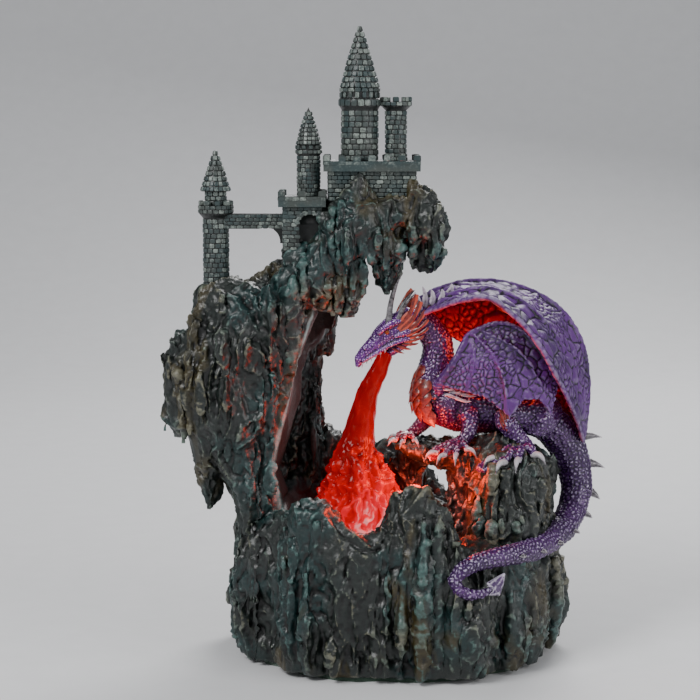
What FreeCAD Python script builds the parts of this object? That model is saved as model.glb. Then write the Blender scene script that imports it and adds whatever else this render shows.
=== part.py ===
"""Dice tower: a cast-resin crag with a castle on top, a dragon on a perch and a lit flame in its crater.

Dice go in at the mouth behind the gatehouse, run down the chute in the crag and stop in the crater.
Row frame: +Z up, -Y is the front, the origin is the middle of the underside. Millimetres.
The castings are faceted solids made of rings of points. They meet face to face: each one is cut by
the casting that it is glued to.
"""

import FreeCAD, Part
import math
import os
import random
from FreeCAD import Vector

# ---------------------------------------------------------------- overall sizes
base_width = 150.0          # base at the floor, along X
base_depth = 132.0          # base at the floor, along Y
crag_height = 222.0         # from the underside to the foot of the keep

# The sculpture's stations are set out on this grid, and stretch with the three sizes above.
GRID_WIDTH, GRID_DEPTH, GRID_HEIGHT = 150.0, 132.0, 222.0
along_x = base_width / GRID_WIDTH
along_y = base_depth / GRID_DEPTH
along_z = crag_height / GRID_HEIGHT
girth = math.sqrt(along_x * along_y)

# ---------------------------------------------------------------- base, felt and plate
felt_thickness = 2.0
felt_inset = 1.5            # felt edge inside the rock's foot
rock_wall = 9.0             # rock outside the plate's rebate, at the narrowest
plate_thickness = 2.5
plate_gap = 0.2             # all round the plate in its rebate
plate_ledge = 7.0           # width of the ledge that the plate is screwed to
cavity_height = 42.0        # underside to the cavity's roof
crater_floor = 56.0 * along_z
crater_roof = crater_floor - cavity_height

# ---------------------------------------------------------------- dice path
chute_radius = 12.5         # a 16 mm die or a 22 mm d20 runs through
mouth_radius = 13.5

# ---------------------------------------------------------------- castle
slab_thickness = 4.8
slab_overhang = 2.2
merlon_height = 2.6
merlon_width = 3.4
merlon_depth = 2.2
keep_length, keep_depth, keep_wall = 42.0, 22.0, 14.5
gatehouse_length, gatehouse_depth, gatehouse_wall = 18.5, 18.0, 21.5
gateway_width, gateway_height, gateway_depth, gateway_sill = 10.0, 17.0, 5.0, 0.8
great_radius, great_shaft, great_crown, great_spire = 8.7, 24.2, 10.5, 29.5
round_radius, round_shaft, round_crown = 4.9, 24.0, 6.5
gate_radius, gate_shaft, gate_crown, gate_spire = 5.4, 19.5, 5.2, 17.9
watch_radius, watch_shaft, watch_crown, watch_lantern, watch_spire = 6.1, 38.0, 6.5, 6.8, 19.8
tower_flare = 1.15          # how far a crown stands out of its shaft, as a share of the radius
bridge_width, bridge_height = 9.0, 7.0
bridge_rise = 2.2           # how far the bridge's top stands above the watch tower's shaft
parapet_thickness = 1.6
pin_radius, pin_length, pin_gap = 1.5, 12.0, 0.1

# ---------------------------------------------------------------- light and battery
well_radius = 11.0          # light well under the flame
spigot_gap = 0.15
spigot_length = 5.0
board_radius, board_thickness = 17.0, 1.6
led_radius, led_height, led_circle = 2.5, 7.5, 5.5
led_count = 3
cell_radius, cell_length, cell_nub = 5.25, 43.7, 0.8
cell_count = 3
cell_gap = 0.35             # between cells, and round them
spring_length = 4.6
contact_thickness = 0.5
box_wall = 1.6
box_flange = 4.0
door_thickness = 2.0
door_gap = 0.3
switch_length, switch_depth, switch_height = 14.0, 7.0, 5.0
lever_length, lever_depth, lever_travel = 3.2, 2.6, 2.0
lever_gap = 0.25
wire_radius = 0.7
screw_radius, screw_head_radius, screw_head = 1.2, 2.3, 1.2
screw_gap = 0.1
dowel_radius, dowel_length, dowel_gap = 2.0, 34.0, 0.1

# ---------------------------------------------------------------- levels and centres that follow
plate_top = felt_thickness + plate_thickness
foot_radius = min(base_width, base_depth) / 2
plate_radius = foot_radius - rock_wall
cavity_radius = plate_radius - plate_ledge
flame_x, flame_y = -13.0 * along_x, -8.0 * along_y
box_x, box_y = 4.0, 12.0
switch_x, switch_y = 4.0, -24.0
box_inner = Vector(cell_length + cell_nub + spring_length + 2 * contact_thickness,
                   cell_count * (2 * cell_radius + cell_gap) + cell_gap,
                   2 * cell_radius + 2 * cell_gap)
door_length = box_inner.x + 2 * box_flange
door_depth = box_inner.y
box_floor = plate_top + box_wall


# ================================================================ tools for the castings
def spot(x, y, z):
    """A place on the sculptor's grid, stretched to the overall sizes."""
    return Vector(x * along_x, y * along_y, z * along_z)


def skin(rings):
    """A closed solid over rings of points, each with the same count. The end rings get a fan."""
    faces = []
    count = len(rings[0])

    def facet(a, b, c):
        faces.append(Part.Face(Part.makePolygon([a, b, c, a])))

    for low, high in zip(rings, rings[1:]):
        for k in range(count):
            n = (k + 1) % count
            facet(low[k], low[n], high[n])
            facet(low[k], high[n], high[k])
    for ring, first in ((rings[0], True), (rings[-1], False)):
        middle = sum(ring, Vector()) * (1.0 / count)
        for k in range(count):
            n = (k + 1) % count
            if first:
                facet(middle, ring[n], ring[k])
            else:
                facet(middle, ring[k], ring[n])
    return closed(faces)


def closed(faces):
    shell = Part.makeShell(faces)
    shell.sewShape()
    solid = Part.Solid(Part.Shell(shell.Faces))
    if solid.Volume < 0:
        solid.reverse()
    return solid


def tube(stations, sides=12, rough=0.0, seed=1, across=Vector(0, 1, 0)):
    """A limb along stations (x, y, z, radius in the plane of the front view, radius in depth).

    rough makes ridges along the limb, as a share of its radius.
    """
    dice = random.Random(seed)
    ridges = [dice.uniform(-1, 1) for _ in range(sides)]
    places = [spot(*s[:3]) for s in stations]
    rings = []
    side = across
    for i, station in enumerate(stations):
        ahead = places[min(i + 1, len(places) - 1)] - places[max(i - 1, 0)]
        ahead.normalize()
        side = side - ahead * side.dot(ahead)
        side.normalize()
        other = ahead.cross(side)
        ring = []
        for k in range(sides):
            turn = 2 * math.pi * k / sides
            swell = girth * (1 + rough * (0.65 * ridges[k] + 0.35 * dice.uniform(-1, 1)))
            out = side * (station[4] * math.cos(turn)) + other * (station[3] * math.sin(turn))
            ring.append(places[i] + out * swell)
        rings.append(ring)
    return skin(rings)


def membrane(rows, thickness):
    """A sheet of even thickness through rows of grid places, for a wing."""
    grid = [[spot(*p) for p in row] for row in rows]
    high, low = [], []
    for i, row in enumerate(grid):
        above, below = [], []
        for k, p in enumerate(row):
            down = grid[min(i + 1, len(grid) - 1)][k] - grid[max(i - 1, 0)][k]
            along = row[min(k + 1, len(row) - 1)] - row[max(k - 1, 0)]
            normal = along.cross(down).normalize()
            above.append(p + normal * (thickness / 2))
            below.append(p - normal * (thickness / 2))
        high.append(above)
        low.append(below)
    # Each column of the sheet is a ring that goes along the upper side and back along the lower.
    columns = range(len(grid[0]))
    rings = [[r[k] for r in high] + [r[k] for r in reversed(low)] for k in columns]
    return skin(rings)


def cut_by(shape, *others):
    """The shape less the others, as its largest lump: a cast piece is one lump."""
    for other in others:
        shape = shape.cut(other)
    return max(shape.Solids, key=lambda s: s.Volume)


def fused(*shapes):
    whole = shapes[0].multiFuse(list(shapes[1:])).removeSplitter()
    return max(whole.Solids, key=lambda s: s.Volume)


def between(knots, at):
    """The value at an angle in degrees, from knots (angle, value) round a full turn, eased between them."""
    knots = knots + [(knots[0][0] + 360.0, knots[0][1])]
    if at < knots[0][0]:
        at += 360.0
    for (a, low), (b, high) in zip(knots, knots[1:]):
        if a <= at <= b:
            share = (at - a) / (b - a)
            return low + (high - low) * (0.5 - 0.5 * math.cos(math.pi * share))
    return knots[0][1]


def upright(radius, height, x, y, z):
    return Part.makeCylinder(radius, height, Vector(x, y, z))


def block(length, depth, height, x, y, z):
    """A block centred on x and y that stands on z."""
    return Part.makeBox(length, depth, height, Vector(x - length / 2, y - depth / 2, z))


# ================================================================ rock
# Rim height round the base, in degrees from +X. 270 is the front. The gap at 260 shows the flame's foot.
RIM = [(0, 62), (38, 64), (50, 65), (63, 67), (72, 88), (80, 98), (90, 92), (104, 95), (120, 106),
       (129, 96), (140, 92), (165, 80),
       (200, 72), (220, 77), (234, 84), (241, 82), (248, 76), (259, 70), (267, 70), (277, 82), (287, 93),
       (293, 86), (301, 66), (330, 62)]
CREST = [(0, 0.35), (60, 0.3), (90, 0.3), (135, 0.3), (180, 0.5), (225, 0.55), (270, 0.6), (300, 0.5)]
ROCK_SIDES = 48


def foot_outline(turn, share):
    """The base's outline at an angle, in ridges like columns of basalt."""
    ridge = 0.018 * math.sin(9 * turn + 0.7) + 0.014 * math.sin(17 * turn + 2.1) + 0.01 * math.sin(5 * turn)
    return Vector(base_width / 2 * share * (1 + ridge) * math.cos(turn),
                  base_depth / 2 * share * (1 + ridge) * math.sin(turn), 0)


def make_base_rock():
    """The drum with the crater in its top: rings go up the outside, over the rim and down inside."""
    levels = [(felt_thickness, 0.975), (14 * along_z, 1.0), (30 * along_z, 1.035), (48 * along_z, 1.045)]
    turns = [2 * math.pi * k / ROCK_SIDES for k in range(ROCK_SIDES)]
    rings = [[foot_outline(t, share) + Vector(0, 0, z) for t in turns] for z, share in levels]
    crater = spot(-12, -8, 0)
    shoulder, slope, crest, lip, inside, floor = [], [], [], [], [], []
    for t in turns:
        rim = between(RIM, math.degrees(t)) * along_z
        outer = foot_outline(t, 1.03)
        inner = crater + Vector(42 * along_x * math.cos(t), 43 * along_y * math.sin(t), 0)
        top = inner + (outer - inner) * between(CREST, math.degrees(t))
        shoulder.append(outer + Vector(0, 0, min(61 * along_z, rim - 9)))
        slope.append((outer * 0.6 + top * 0.4) + Vector(0, 0, rim - 4))
        crest.append(top + Vector(0, 0, rim))
        lip.append(inner + Vector(0, 0, rim - 3))
        inside.append(crater + (inner - crater) * 0.88 + Vector(0, 0, (rim + crater_floor) / 2))
        floor.append(crater + (inner - crater) * 0.68 + Vector(0, 0, crater_floor))
    rock = skin(rings + [shoulder, slope, crest, lip, inside, floor])
    rock = rock.cut(upright(plate_radius + plate_gap, plate_thickness, 0, 0, felt_thickness))
    rock = rock.cut(upright(cavity_radius, cavity_height - plate_top, 0, 0, plate_top))
    rock = rock.cut(upright(well_radius, crater_roof + 1, flame_x, flame_y, cavity_height))
    for x, y in plate_screw_places():
        rock = rock.cut(upright(screw_radius + screw_gap, plate_screw_length, x, y, plate_top))
    for x, y in board_screw_places():
        rock = rock.cut(upright(screw_radius + screw_gap, board_screw_length, x, y, cavity_height))
    return rock


def make_chute():
    """The hollow that the dice run through, from the mouth behind the gatehouse to the crater."""
    wide = chute_radius / girth
    mouth = mouth_radius / girth
    return tube([(-43, 30, 208, mouth + 2.5, mouth + 2.5), (-43, 28, 196, mouth, mouth),
                 (-42.5, 25, 186, mouth, mouth), (-41, 18, 175, wide, wide), (-39.5, 9, 163, wide, wide),
                 (-39, 2, 150, wide, wide), (-39, -2, 130, wide, wide), (-40, -5, 112, 14, 14),
                 (-41, -7, 92, 16.5, 16.5), (-33, -8, 74, 20, 20), (-26, -8, 60, 20, 20)], sides=20)


def make_crag_rock():
    """The column at the left, the wall behind the chute, and the spikes that hang from them."""
    column = tube([(-66, 2, 54, 14, 28), (-65.5, 2, 66, 13.5, 28), (-66.5, 2, 76, 12.5, 27),
                   (-70, 2, 87, 13, 26),
                   (-72.5, 2, 98, 18.5, 26), (-75.5, 2, 110, 24.5, 27), (-75.5, 2, 124, 28, 27),
                   (-75, 2, 140, 29.5, 27), (-72, 2, 152, 30, 27), (-66, 3, 163, 29.5, 26),
                   (-63, 3, 173, 28, 23), (-62, 3, 180, 22, 16)], sides=20, rough=0.12, seed=4)
    wall = tube([(-50, 31, 54, 17, 15), (-49, 30, 76, 15, 15), (-50, 29, 104, 15, 15),
                 (-51, 29, 125, 13, 15),
                 (-50, 29, 140, 12.5, 14), (-48, 29, 156, 16, 16), (-46, 29, 172, 18, 17),
                 (-44, 29, 182, 17, 16)],
                sides=14, rough=0.12, seed=9)
    long_spike = tube([(-92, -6, 122, 11, 11), (-92, -7, 105, 8.5, 9), (-92, -7, 90, 7, 7.5),
                       (-91, -7, 78, 5, 5.5),
                       (-90.5, -7, 70.5, 2.5, 2.5)], sides=10, rough=0.1, seed=5)
    short_spike = tube([(-102, 2, 150, 9, 12), (-106, 2, 140, 8, 11), (-107, 2, 125, 6.5, 9),
                        (-106.5, 2, 112, 5.5, 7), (-106, 2, 106.5, 3.5, 4)], sides=10, rough=0.1, seed=6)
    rear_spike = tube([(-84, 20, 120, 10, 10), (-86, 22, 100, 7, 7), (-86, 22, 84, 2.5, 2.5)],
                      sides=10, rough=0.1, seed=7)
    channel_spike = tube([(-36, 20, 176, 9, 9), (-34, 18, 166, 5.5, 7), (-33, 17, 157, 1.8, 2)],
                         sides=10, rough=0.1, seed=13)
    back_folds = [
        tube([(-66, 36, 168, 9, 9), (-68, 35, 140, 9, 10), (-68, 33, 110, 7, 8), (-68, 32, 96, 2.5, 3)],
             sides=10, rough=0.12, seed=14),
        tube([(-52, 43, 176, 8, 7), (-53, 43, 150, 6.5, 6), (-53, 43, 124, 6, 5), (-53, 44, 108, 2.5, 3)],
             sides=10, rough=0.12, seed=15),
        tube([(-33, 36, 174, 6, 7), (-34, 37, 158, 5, 5), (-35, 37, 142, 2, 2)], sides=10, rough=0.12,
             seed=16),
    ]
    shoulder = tube([(-100, 2, 140, 9, 14), (-103, 2, 150, 6, 10), (-106, 2, 157, 3, 4)],
                    sides=10, rough=0.12, seed=8)
    shelf = tube([(-84, 3, 146, 14, 16), (-86, 4, 160, 11.5, 13), (-87, 5, 172, 10.5, 11.5),
                  (-88, 5, 179, 8.5, 9.5)],
                 sides=12, rough=0.08, seed=10)
    saddle = tube([(-78, 6, 170, 10, 12), (-70, 6, 178, 6, 11), (-60, 6, 182, 8, 12)],
                  sides=10, rough=0.1, seed=12)
    return fused(column, wall, long_spike, short_spike, rear_spike, channel_spike, shoulder, shelf, saddle,
                 *back_folds)


def make_crag_arm():
    spine = tube([(-58, 4, 166, 15, 17), (-49, 1, 179, 14.5, 17), (-35, -1, 191, 12, 16),
                  (-23, -1, 205, 12, 16),
                  (-10, -1, 214, 13, 16), (4, -1, 216, 11, 15), (14, -1, 214, 8, 12), (20, -1, 210, 4, 7)],
                 sides=16, rough=0.12, seed=21)
    seat = tube([(-34, -1, 210, 10, 13), (-26, -1, 217, 9, 15), (-10, 0, 220, 8, 15), (6, 0, 221, 7, 14)],
                sides=12, rough=0.08, seed=22)
    gate_seat = tube([(-46, 0, 184, 11, 12), (-46, -1, 194, 11, 11.5), (-46, 0, 198.6, 10, 10)],
                     sides=12, rough=0.08, seed=23)
    mantle = tube([(-17, -9, 198, 15, 9), (-18, -12, 212, 12, 8), (-18, -14, 224, 7, 4.5),
                   (-17.6, -15, 232, 4, 3),
                   (-17.6, -15, 236.5, 1.6, 1.6)], sides=12, rough=0.12, seed=24)
    left_fold = tube([(-31, -8, 190, 9, 8), (-28, -10, 206, 6.5, 6), (-28, -11, 219, 4, 3)],
                     sides=10, rough=0.12, seed=25)
    right_fold = tube([(12, -6, 208, 9, 9), (12, -9, 220, 8.5, 7), (9, -11, 228, 5, 4), (6, -12, 232, 2, 2)],
                      sides=10, rough=0.12, seed=26)
    spikes = [
        tube([(-6, -4, 208, 10, 9), (-6, -5, 194, 6.5, 6), (-5.5, -5, 184, 3.6, 3.6),
              (-5.2, -5, 178, 1.6, 1.6)],
             sides=10, rough=0.1, seed=27),
        tube([(-25, -6, 200, 11, 9), (-24, -8, 186, 7.5, 7), (-23.6, -8, 174, 4.2, 4.2),
              (-23.4, -8, 166, 1.6, 1.6)],
             sides=10, rough=0.1, seed=28),
        tube([(14, -2, 218, 9.5, 9), (14, -3, 205, 8, 8), (14, -3, 194, 5.5, 5.5), (14, -3, 187.5, 3, 3)],
             sides=10, rough=0.1, seed=29),
        tube([(3, -2, 210, 6, 6), (3.5, -2, 202, 3.5, 3.5), (3.5, -2, 198, 1.6, 1.6)],
             sides=10, rough=0.1, seed=30),
        tube([(-36, -6, 192, 9, 8), (-35, -8, 180, 6, 6), (-34, -8, 171, 2.5, 2.5)],
             sides=10, rough=0.1, seed=31),
    ]
    collar = tube([(-44, 24, 174, 17, 16), (-43.5, 26, 183, 17.5, 17), (-43, 27, 190, 16.8, 17)],
                  sides=16, rough=0.05, seed=32)
    return fused(spine, seat, gate_seat, mantle, left_fold, right_fold, collar, *spikes)


def make_perch_rock():
    stack = tube([(52, -4, 54, 25, 36), (52, -4, 66, 26, 37), (51.5, -4, 78, 25, 36), (52, -4, 88, 26, 35),
                  (51.5, -3, 95, 25, 32), (52, -1, 99.5, 20, 25)], sides=18, rough=0.1, seed=41)
    ridge = tube([(50, 8, 88, 22, 16), (49, 9, 99, 19, 14), (48, 9, 106.5, 13, 9)], sides=14, rough=0.1,
                 seed=44)
    ledge = tube([(42, -4, 97, 8, 17), (30, -4, 98, 9, 16), (20, -5, 99, 7.5, 13), (11, -7, 100.5, 5.5, 11),
                  (5, -9, 102.5, 4, 7), (1, -11, 104.5, 2, 4)], sides=12, rough=0.12, seed=42)
    leg = tube([(9, 2, 100, 7.5, 8), (7, 7, 92, 8.5, 7), (6.5, 10, 78, 8, 7), (8, 12, 62, 8.5, 8)],
               sides=12, rough=0.12, seed=43)
    return fused(stack, ridge, ledge, leg)


# ================================================================ castle
def ring_of_merlons(radius, count, x, y, z):
    """Teeth round a tower's top."""
    merlons = []
    for k in range(count):
        tooth = Part.makeBox(merlon_depth, merlon_width * 0.75, merlon_height * 0.8,
                             Vector(radius - merlon_depth, -merlon_width * 0.375, 0))
        tooth.rotate(Vector(), Vector(0, 0, 1), 360.0 * k / count)
        tooth.translate(Vector(x, y, z))
        merlons.append(tooth)
    return merlons


def slab_with_merlons(length, depth, x, y, z):
    """A platform with teeth along its four edges."""
    wide, deep = length + 2 * slab_overhang, depth + 2 * slab_overhang
    pieces = [block(wide, deep, slab_thickness, x, y, z)]
    top = z + slab_thickness
    for side in (-1, 1):
        count = round(wide / (2 * merlon_width))
        for k in range(count):
            at = x - wide / 2 + merlon_width / 2 + k * (wide - merlon_width) / (count - 1)
            edge = y + side * (deep - merlon_depth) / 2
            pieces.append(block(merlon_width, merlon_depth, merlon_height, at, edge, top))
        count = round(deep / (2 * merlon_width))
        for k in range(1, count - 1):
            at = y - deep / 2 + merlon_width / 2 + k * (deep - merlon_width) / (count - 1)
            edge = x + side * (wide - merlon_depth) / 2
            pieces.append(block(merlon_depth, merlon_width, merlon_height, edge, at, top))
    return pieces


def turned(profile, x, y, z):
    """A turned piece from a profile of (radius, height) that starts and ends on the axis."""
    points = [Vector(r, 0, h) for r, h in profile]
    piece = Part.Face(Part.makePolygon(points + points[:1])).revolve(Vector(), Vector(0, 0, 1), 360)
    piece.translate(Vector(x, y, z))
    return piece


def spire_profile(radius, height, eave):
    """A spire that swells a little, from its eave to the tip."""
    curve = [(radius + eave, 0.0)]
    for k in range(1, 8):
        share = k / 8.0
        curve.append(((radius + eave) * (1 - share) ** 0.85, height * share))
    return curve + [(0, height)]


def crowned_tower(radius, shaft, crown, spire, x, y, z, eave=0.4):
    """Shaft, corbelled crown and spire, with a blind hole in the foot for its pin."""
    flare = radius * tower_flare
    profile = [(0, 0), (radius, 0), (radius, shaft), (flare, shaft + crown * 0.2),
               (flare, shaft + crown * 0.5),
               (radius * 1.04, shaft + crown * 0.6), (radius * 1.04, shaft + crown)]
    profile += [(r, shaft + crown + h) for r, h in spire_profile(radius, spire, eave)]
    return turned(profile, x, y, z)


def pin_hole(x, y, z):
    """The hole for a pin that is half in the tower and half in what it stands on."""
    return upright(pin_radius + pin_gap, pin_length + 2 * pin_gap, x, y, z - pin_length / 2 - pin_gap)


keep_place = spot(-12, -1, 222)
gatehouse_place = spot(-45.5, -2, 198)
watch_place = spot(-88, 5, 175)
keep_top = keep_place.z + keep_wall + slab_thickness
gatehouse_top = gatehouse_place.z + gatehouse_wall + slab_thickness
great_place = Vector(keep_place.x - 5.8, keep_place.y - 1, keep_top)
round_place = Vector(keep_place.x + 11.6, keep_place.y - 1, keep_top)
gate_place = Vector(gatehouse_place.x + 3.0, gatehouse_place.y, gatehouse_top)


def make_keep():
    walls = block(keep_length, keep_depth, keep_wall, *keep_place)
    slab = slab_with_merlons(keep_length, keep_depth, keep_place.x, keep_place.y, keep_place.z + keep_wall)
    keep = walls.multiFuse(slab).removeSplitter()
    return keep.cut(pin_hole(*great_place)).cut(pin_hole(*round_place))


def make_gatehouse():
    walls = block(gatehouse_length, gatehouse_depth, gatehouse_wall, *gatehouse_place)
    slab = slab_with_merlons(gatehouse_length, gatehouse_depth, gatehouse_place.x, gatehouse_place.y,
                             gatehouse_place.z + gatehouse_wall)
    front = gatehouse_place.y - gatehouse_depth / 2 + gateway_depth / 2
    sill = gatehouse_place.z + gateway_sill
    arch_radius = gateway_width / 2
    middle = gatehouse_place.x + gatehouse_length / 2 - gateway_width * 0.56
    doorway = block(gateway_width, gateway_depth, gateway_height - arch_radius, middle, front, sill)
    arch = Part.makeCylinder(arch_radius, gateway_depth,
                             Vector(middle, front - gateway_depth / 2, sill + gateway_height - arch_radius),
                             Vector(0, 1, 0))
    house = walls.multiFuse(slab).removeSplitter()
    return house.cut(doorway.fuse(arch)).cut(pin_hole(*gate_place))


def make_great_tower():
    tower = crowned_tower(great_radius, great_shaft, great_crown, great_spire, *great_place)
    return tower.cut(pin_hole(*great_place))


def make_gate_tower():
    tower = crowned_tower(gate_radius, gate_shaft, gate_crown, gate_spire, *gate_place)
    return tower.cut(pin_hole(*gate_place))


def make_round_tower():
    """The open tower: it flares to a crown with teeth, and its top is hollow."""
    flare = round_radius * 1.5
    profile = [(0, 0), (round_radius * 1.12, 0), (round_radius, round_shaft * 0.15),
               (round_radius, round_shaft),
               (flare, round_shaft + round_crown * 0.35), (flare, round_shaft + round_crown * 0.65),
               (flare - merlon_depth, round_shaft + round_crown * 0.65),
               (flare - merlon_depth, round_shaft + round_crown * 0.35),
               (0, round_shaft + round_crown * 0.35)]
    tower = turned(profile, *round_place)
    teeth = ring_of_merlons(flare, 8, round_place.x, round_place.y,
                            round_place.z + round_shaft + round_crown * 0.65)
    return tower.multiFuse(teeth).removeSplitter().cut(pin_hole(*round_place))


def make_watch_tower():
    """The tower at the left: a tall shaft, a crown with teeth, a lantern and a spire."""
    flare = watch_radius * 1.36
    walk = watch_shaft + watch_crown
    lantern = watch_radius * 0.82
    profile = [(0, 0), (watch_radius, 0), (watch_radius, watch_shaft),
               (flare, watch_shaft + watch_crown * 0.4),
               (flare, walk), (lantern, walk), (lantern, walk + watch_lantern)]
    profile += [(r, walk + watch_lantern + h) for r, h in spire_profile(watch_radius, watch_spire, 1.0)]
    tower = turned(profile, *watch_place)
    teeth = ring_of_merlons(flare, 9, watch_place.x, watch_place.y, watch_place.z + walk)
    return tower.multiFuse(teeth).removeSplitter().cut(pin_hole(*watch_place))


def make_bridge():
    """The footbridge from the watch tower to the gatehouse, arched below, with two parapets."""
    start = watch_place.x + watch_radius * 0.6
    end = gatehouse_place.x - gatehouse_length / 2
    deck = watch_place.z + watch_shaft + bridge_rise - bridge_height
    span = end - start
    body = block(span, bridge_width, bridge_height, (start + end) / 2, watch_place.y, deck)
    walk = block(span, bridge_width - 2 * parapet_thickness, bridge_height * 0.45, (start + end) / 2,
                 watch_place.y, deck + bridge_height * 0.55)
    foot = block(bridge_height * 0.7, bridge_width, bridge_height, end - bridge_height * 0.35, watch_place.y,
                 deck - bridge_height)
    bow = Part.makeCylinder(bridge_height, bridge_width + 2,
                            Vector(end - bridge_height * 1.25, watch_place.y - bridge_width / 2 - 1,
                                   deck - bridge_height * 0.9), Vector(0, 1, 0))
    return cut_by(body.cut(walk).fuse(foot).removeSplitter(), bow, make_watch_tower(), make_gatehouse())


def make_tower_pins():
    """Steel pins that hold the four towers."""
    places = (great_place, round_place, gate_place, watch_place)
    return Part.makeCompound([upright(pin_radius, pin_length, p.x, p.y,
                                      p.z - pin_length / 2) for p in places])


# ================================================================ dragon
def make_dragon_body():
    """Neck, trunk and four legs in one casting."""
    trunk = tube([(13, -5, 126, 6, 6), (19, -5, 125, 11.5, 11.5), (30, -4, 122, 13, 13.5),
                  (44, -2, 121.5, 13.5, 14.5),
                  (58, 0, 121, 13.5, 15), (68, 0, 118, 12, 14), (77, 1, 113, 9.5, 11)], sides=16)
    neck = tube([(9, -6, 166, 5.5, 6), (15, -4.5, 161.5, 6.8, 7.2), (20, -4, 154, 7.6, 8),
                 (20.5, -4, 145, 8.4, 8.8),
                 (18.5, -5, 136, 9.8, 9.8), (19, -6, 128, 10.8, 10.5), (24, -5, 121, 8, 8)], sides=14)
    near_thigh = tube([(76, -4, 121, 8, 8), (70, -9, 119, 12.5, 11), (62, -14, 119.5, 9.5, 8.5),
                       (54.5, -18, 120.5, 6.5, 6), (50.5, -20, 121, 3.5, 3.5)], sides=12)
    near_shin = tube([(50.5, -19, 122, 3.6, 3.6), (52, -20.5, 117, 5.2, 5), (57, -22, 110.5, 4.6, 4.4),
                      (62, -23, 105, 4.2, 4.2), (64, -23, 101, 3, 3)], sides=10)
    near_foot = tube([(66, -22, 103.5, 2.8, 3), (59, -25, 103.5, 3.8, 4.6), (52, -29, 102.5, 3.4, 6.2),
                      (44, -34, 99, 2.6, 6), (39, -37, 96, 1.6, 4)], sides=10)
    far_thigh = tube([(76, 6, 120, 8, 8), (69, 10, 117, 12, 10), (61, 14, 112, 7.5, 7),
                      (55, 16, 106, 4.5, 4.5),
                      (52, 15, 100, 4, 5)], sides=12)
    near_arm = tube([(31, -9, 124, 7, 6), (36, -15, 119, 5, 4.6), (35, -20, 112, 3.7, 3.7),
                     (31.5, -22, 107, 3.2, 3.4),
                     (26, -24, 105, 2.8, 4.6), (19, -25, 102.5, 2.2, 4.4),
                     (15, -25.5, 100, 1.2, 3)], sides=10)
    far_arm = tube([(23, 2, 122, 6.5, 6), (15, 1, 114, 4.2, 4), (9, -4, 109, 3.2, 3.4), (3, -9, 106.5, 2, 3),
                    (-1, -11, 105.5, 1, 1.6)], sides=10)
    return fused(trunk, neck, near_thigh, near_shin, near_foot, far_thigh, near_arm, far_arm)


def make_dragon_head():
    """Skull, snout with its hooked tip, and the open lower jaw."""
    skull = tube([(13, -5.5, 164, 5, 5.5), (7, -6.5, 164, 7.2, 6.8), (0, -7, 160, 7.8, 6.8),
                  (-6, -7.5, 156, 6.4, 5.8),
                  (-11, -8, 151.5, 4.6, 4.4), (-15, -8, 148, 3.8, 3.6), (-18, -8, 145, 2.8, 2.6),
                  (-19, -8, 141.5, 1, 1)], sides=14)
    jaw = tube([(7, -6.5, 158, 4.4, 5), (2, -7, 153, 3.4, 4), (-2, -7.5, 149.5, 2.6, 3.2),
                (-5, -8, 147, 1.4, 1.8)],
               sides=10)
    return fused(skull, jaw)


def horn(root, middle, tip, radius):
    return tube([(*root, radius, radius), (*middle, radius * 0.62, radius * 0.62), (*tip, 0.35, 0.35)],
                sides=8)


def make_horns(*neighbours):
    """The two long horns, and the spikes that sweep back from each cheek."""
    horns = []
    for side in (-1, 1):
        y = -7 + side * 3.4
        horns.append(horn((-3, y, 163), (-1, y, 174), (2.8 + 0.8 * side, y, 185.2), 2.3))
        horns.append(horn((3, y + side * 2, 164), (8, y + side * 3, 171), (9.5, y + side * 4, 179.5), 2.1))
        horns.append(horn((5, y + side * 3, 160), (12, y + side * 4.5, 164), (14.5, y + side * 5.5, 171),
                          1.7))
        horns.append(horn((5, y + side * 3, 155), (11, y + side * 4.5, 157), (14, y + side * 5, 162), 1.4))
    return Part.makeCompound([cut_by(h, *neighbours) for h in horns])


TAIL = [(72, 1, 116, 11, 12), (79, 4, 110, 10.5, 11), (85, 7, 101, 9.8, 10), (89, 8, 90, 8.8, 9),
        (90.5, 6, 79, 8, 8.2),
        (87.5, 0, 69, 7.4, 7.5), (81.5, -13, 62.5, 6.8, 7), (73, -26.5, 59.5, 6.2, 6.4),
        (65, -39.5, 58.5, 5.6, 5.8),
        (55.5, -50.5, 58.8, 5.1, 5.2), (45, -58.5, 59, 4.6, 4.7), (35.5, -64.5, 58, 4.2, 4.2),
        (28.5, -67.8, 55, 3.8, 3.8),
        (25.4, -68.8, 50.5, 3.4, 3.4), (27.5, -68.8, 46, 3.1, 3.1), (33, -67.4, 43.4, 2.7, 2.7),
        (39, -65.2, 43.6, 2.2, 2.2), (44, -62.8, 45.6, 1.5, 1.5)]


def make_tail():
    """The tail goes down the perch's right side, round the front of the drum, and curls under itself."""
    return tube(TAIL, sides=12)


def make_tail_tip():
    """The flat barb on the tail's end."""
    return tube([(41.5, -64.8, 43, 0.7, 0.7), (44, -63.4, 45.2, 4.6, 1.5), (47, -61.4, 48.6, 2.8, 1.3),
                 (49.4, -60.2, 52, 0.5, 0.5)], sides=8)


SPINE_LENGTHS = [(1, 9.5), (2, 9.0), (3, 7.5), (4, 5.0), (5, 4.0), (6, 3.6), (7, 3.2), (8, 2.8), (9, 2.4)]


def spine_places():
    """Root, way out and length of each hooked spine along the tail's outer side, in millimetres."""
    for i, length in SPINE_LENGTHS:
        root = spot(*TAIL[i][:3])
        ahead = (spot(*TAIL[i + 1][:3]) - root).normalize()
        out = Vector(root.x - 40 * along_x, root.y + 4, 0)
        out = (out - ahead * out.dot(ahead)).normalize()
        yield root, out, ahead, TAIL[i][3] * girth, length * girth


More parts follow.
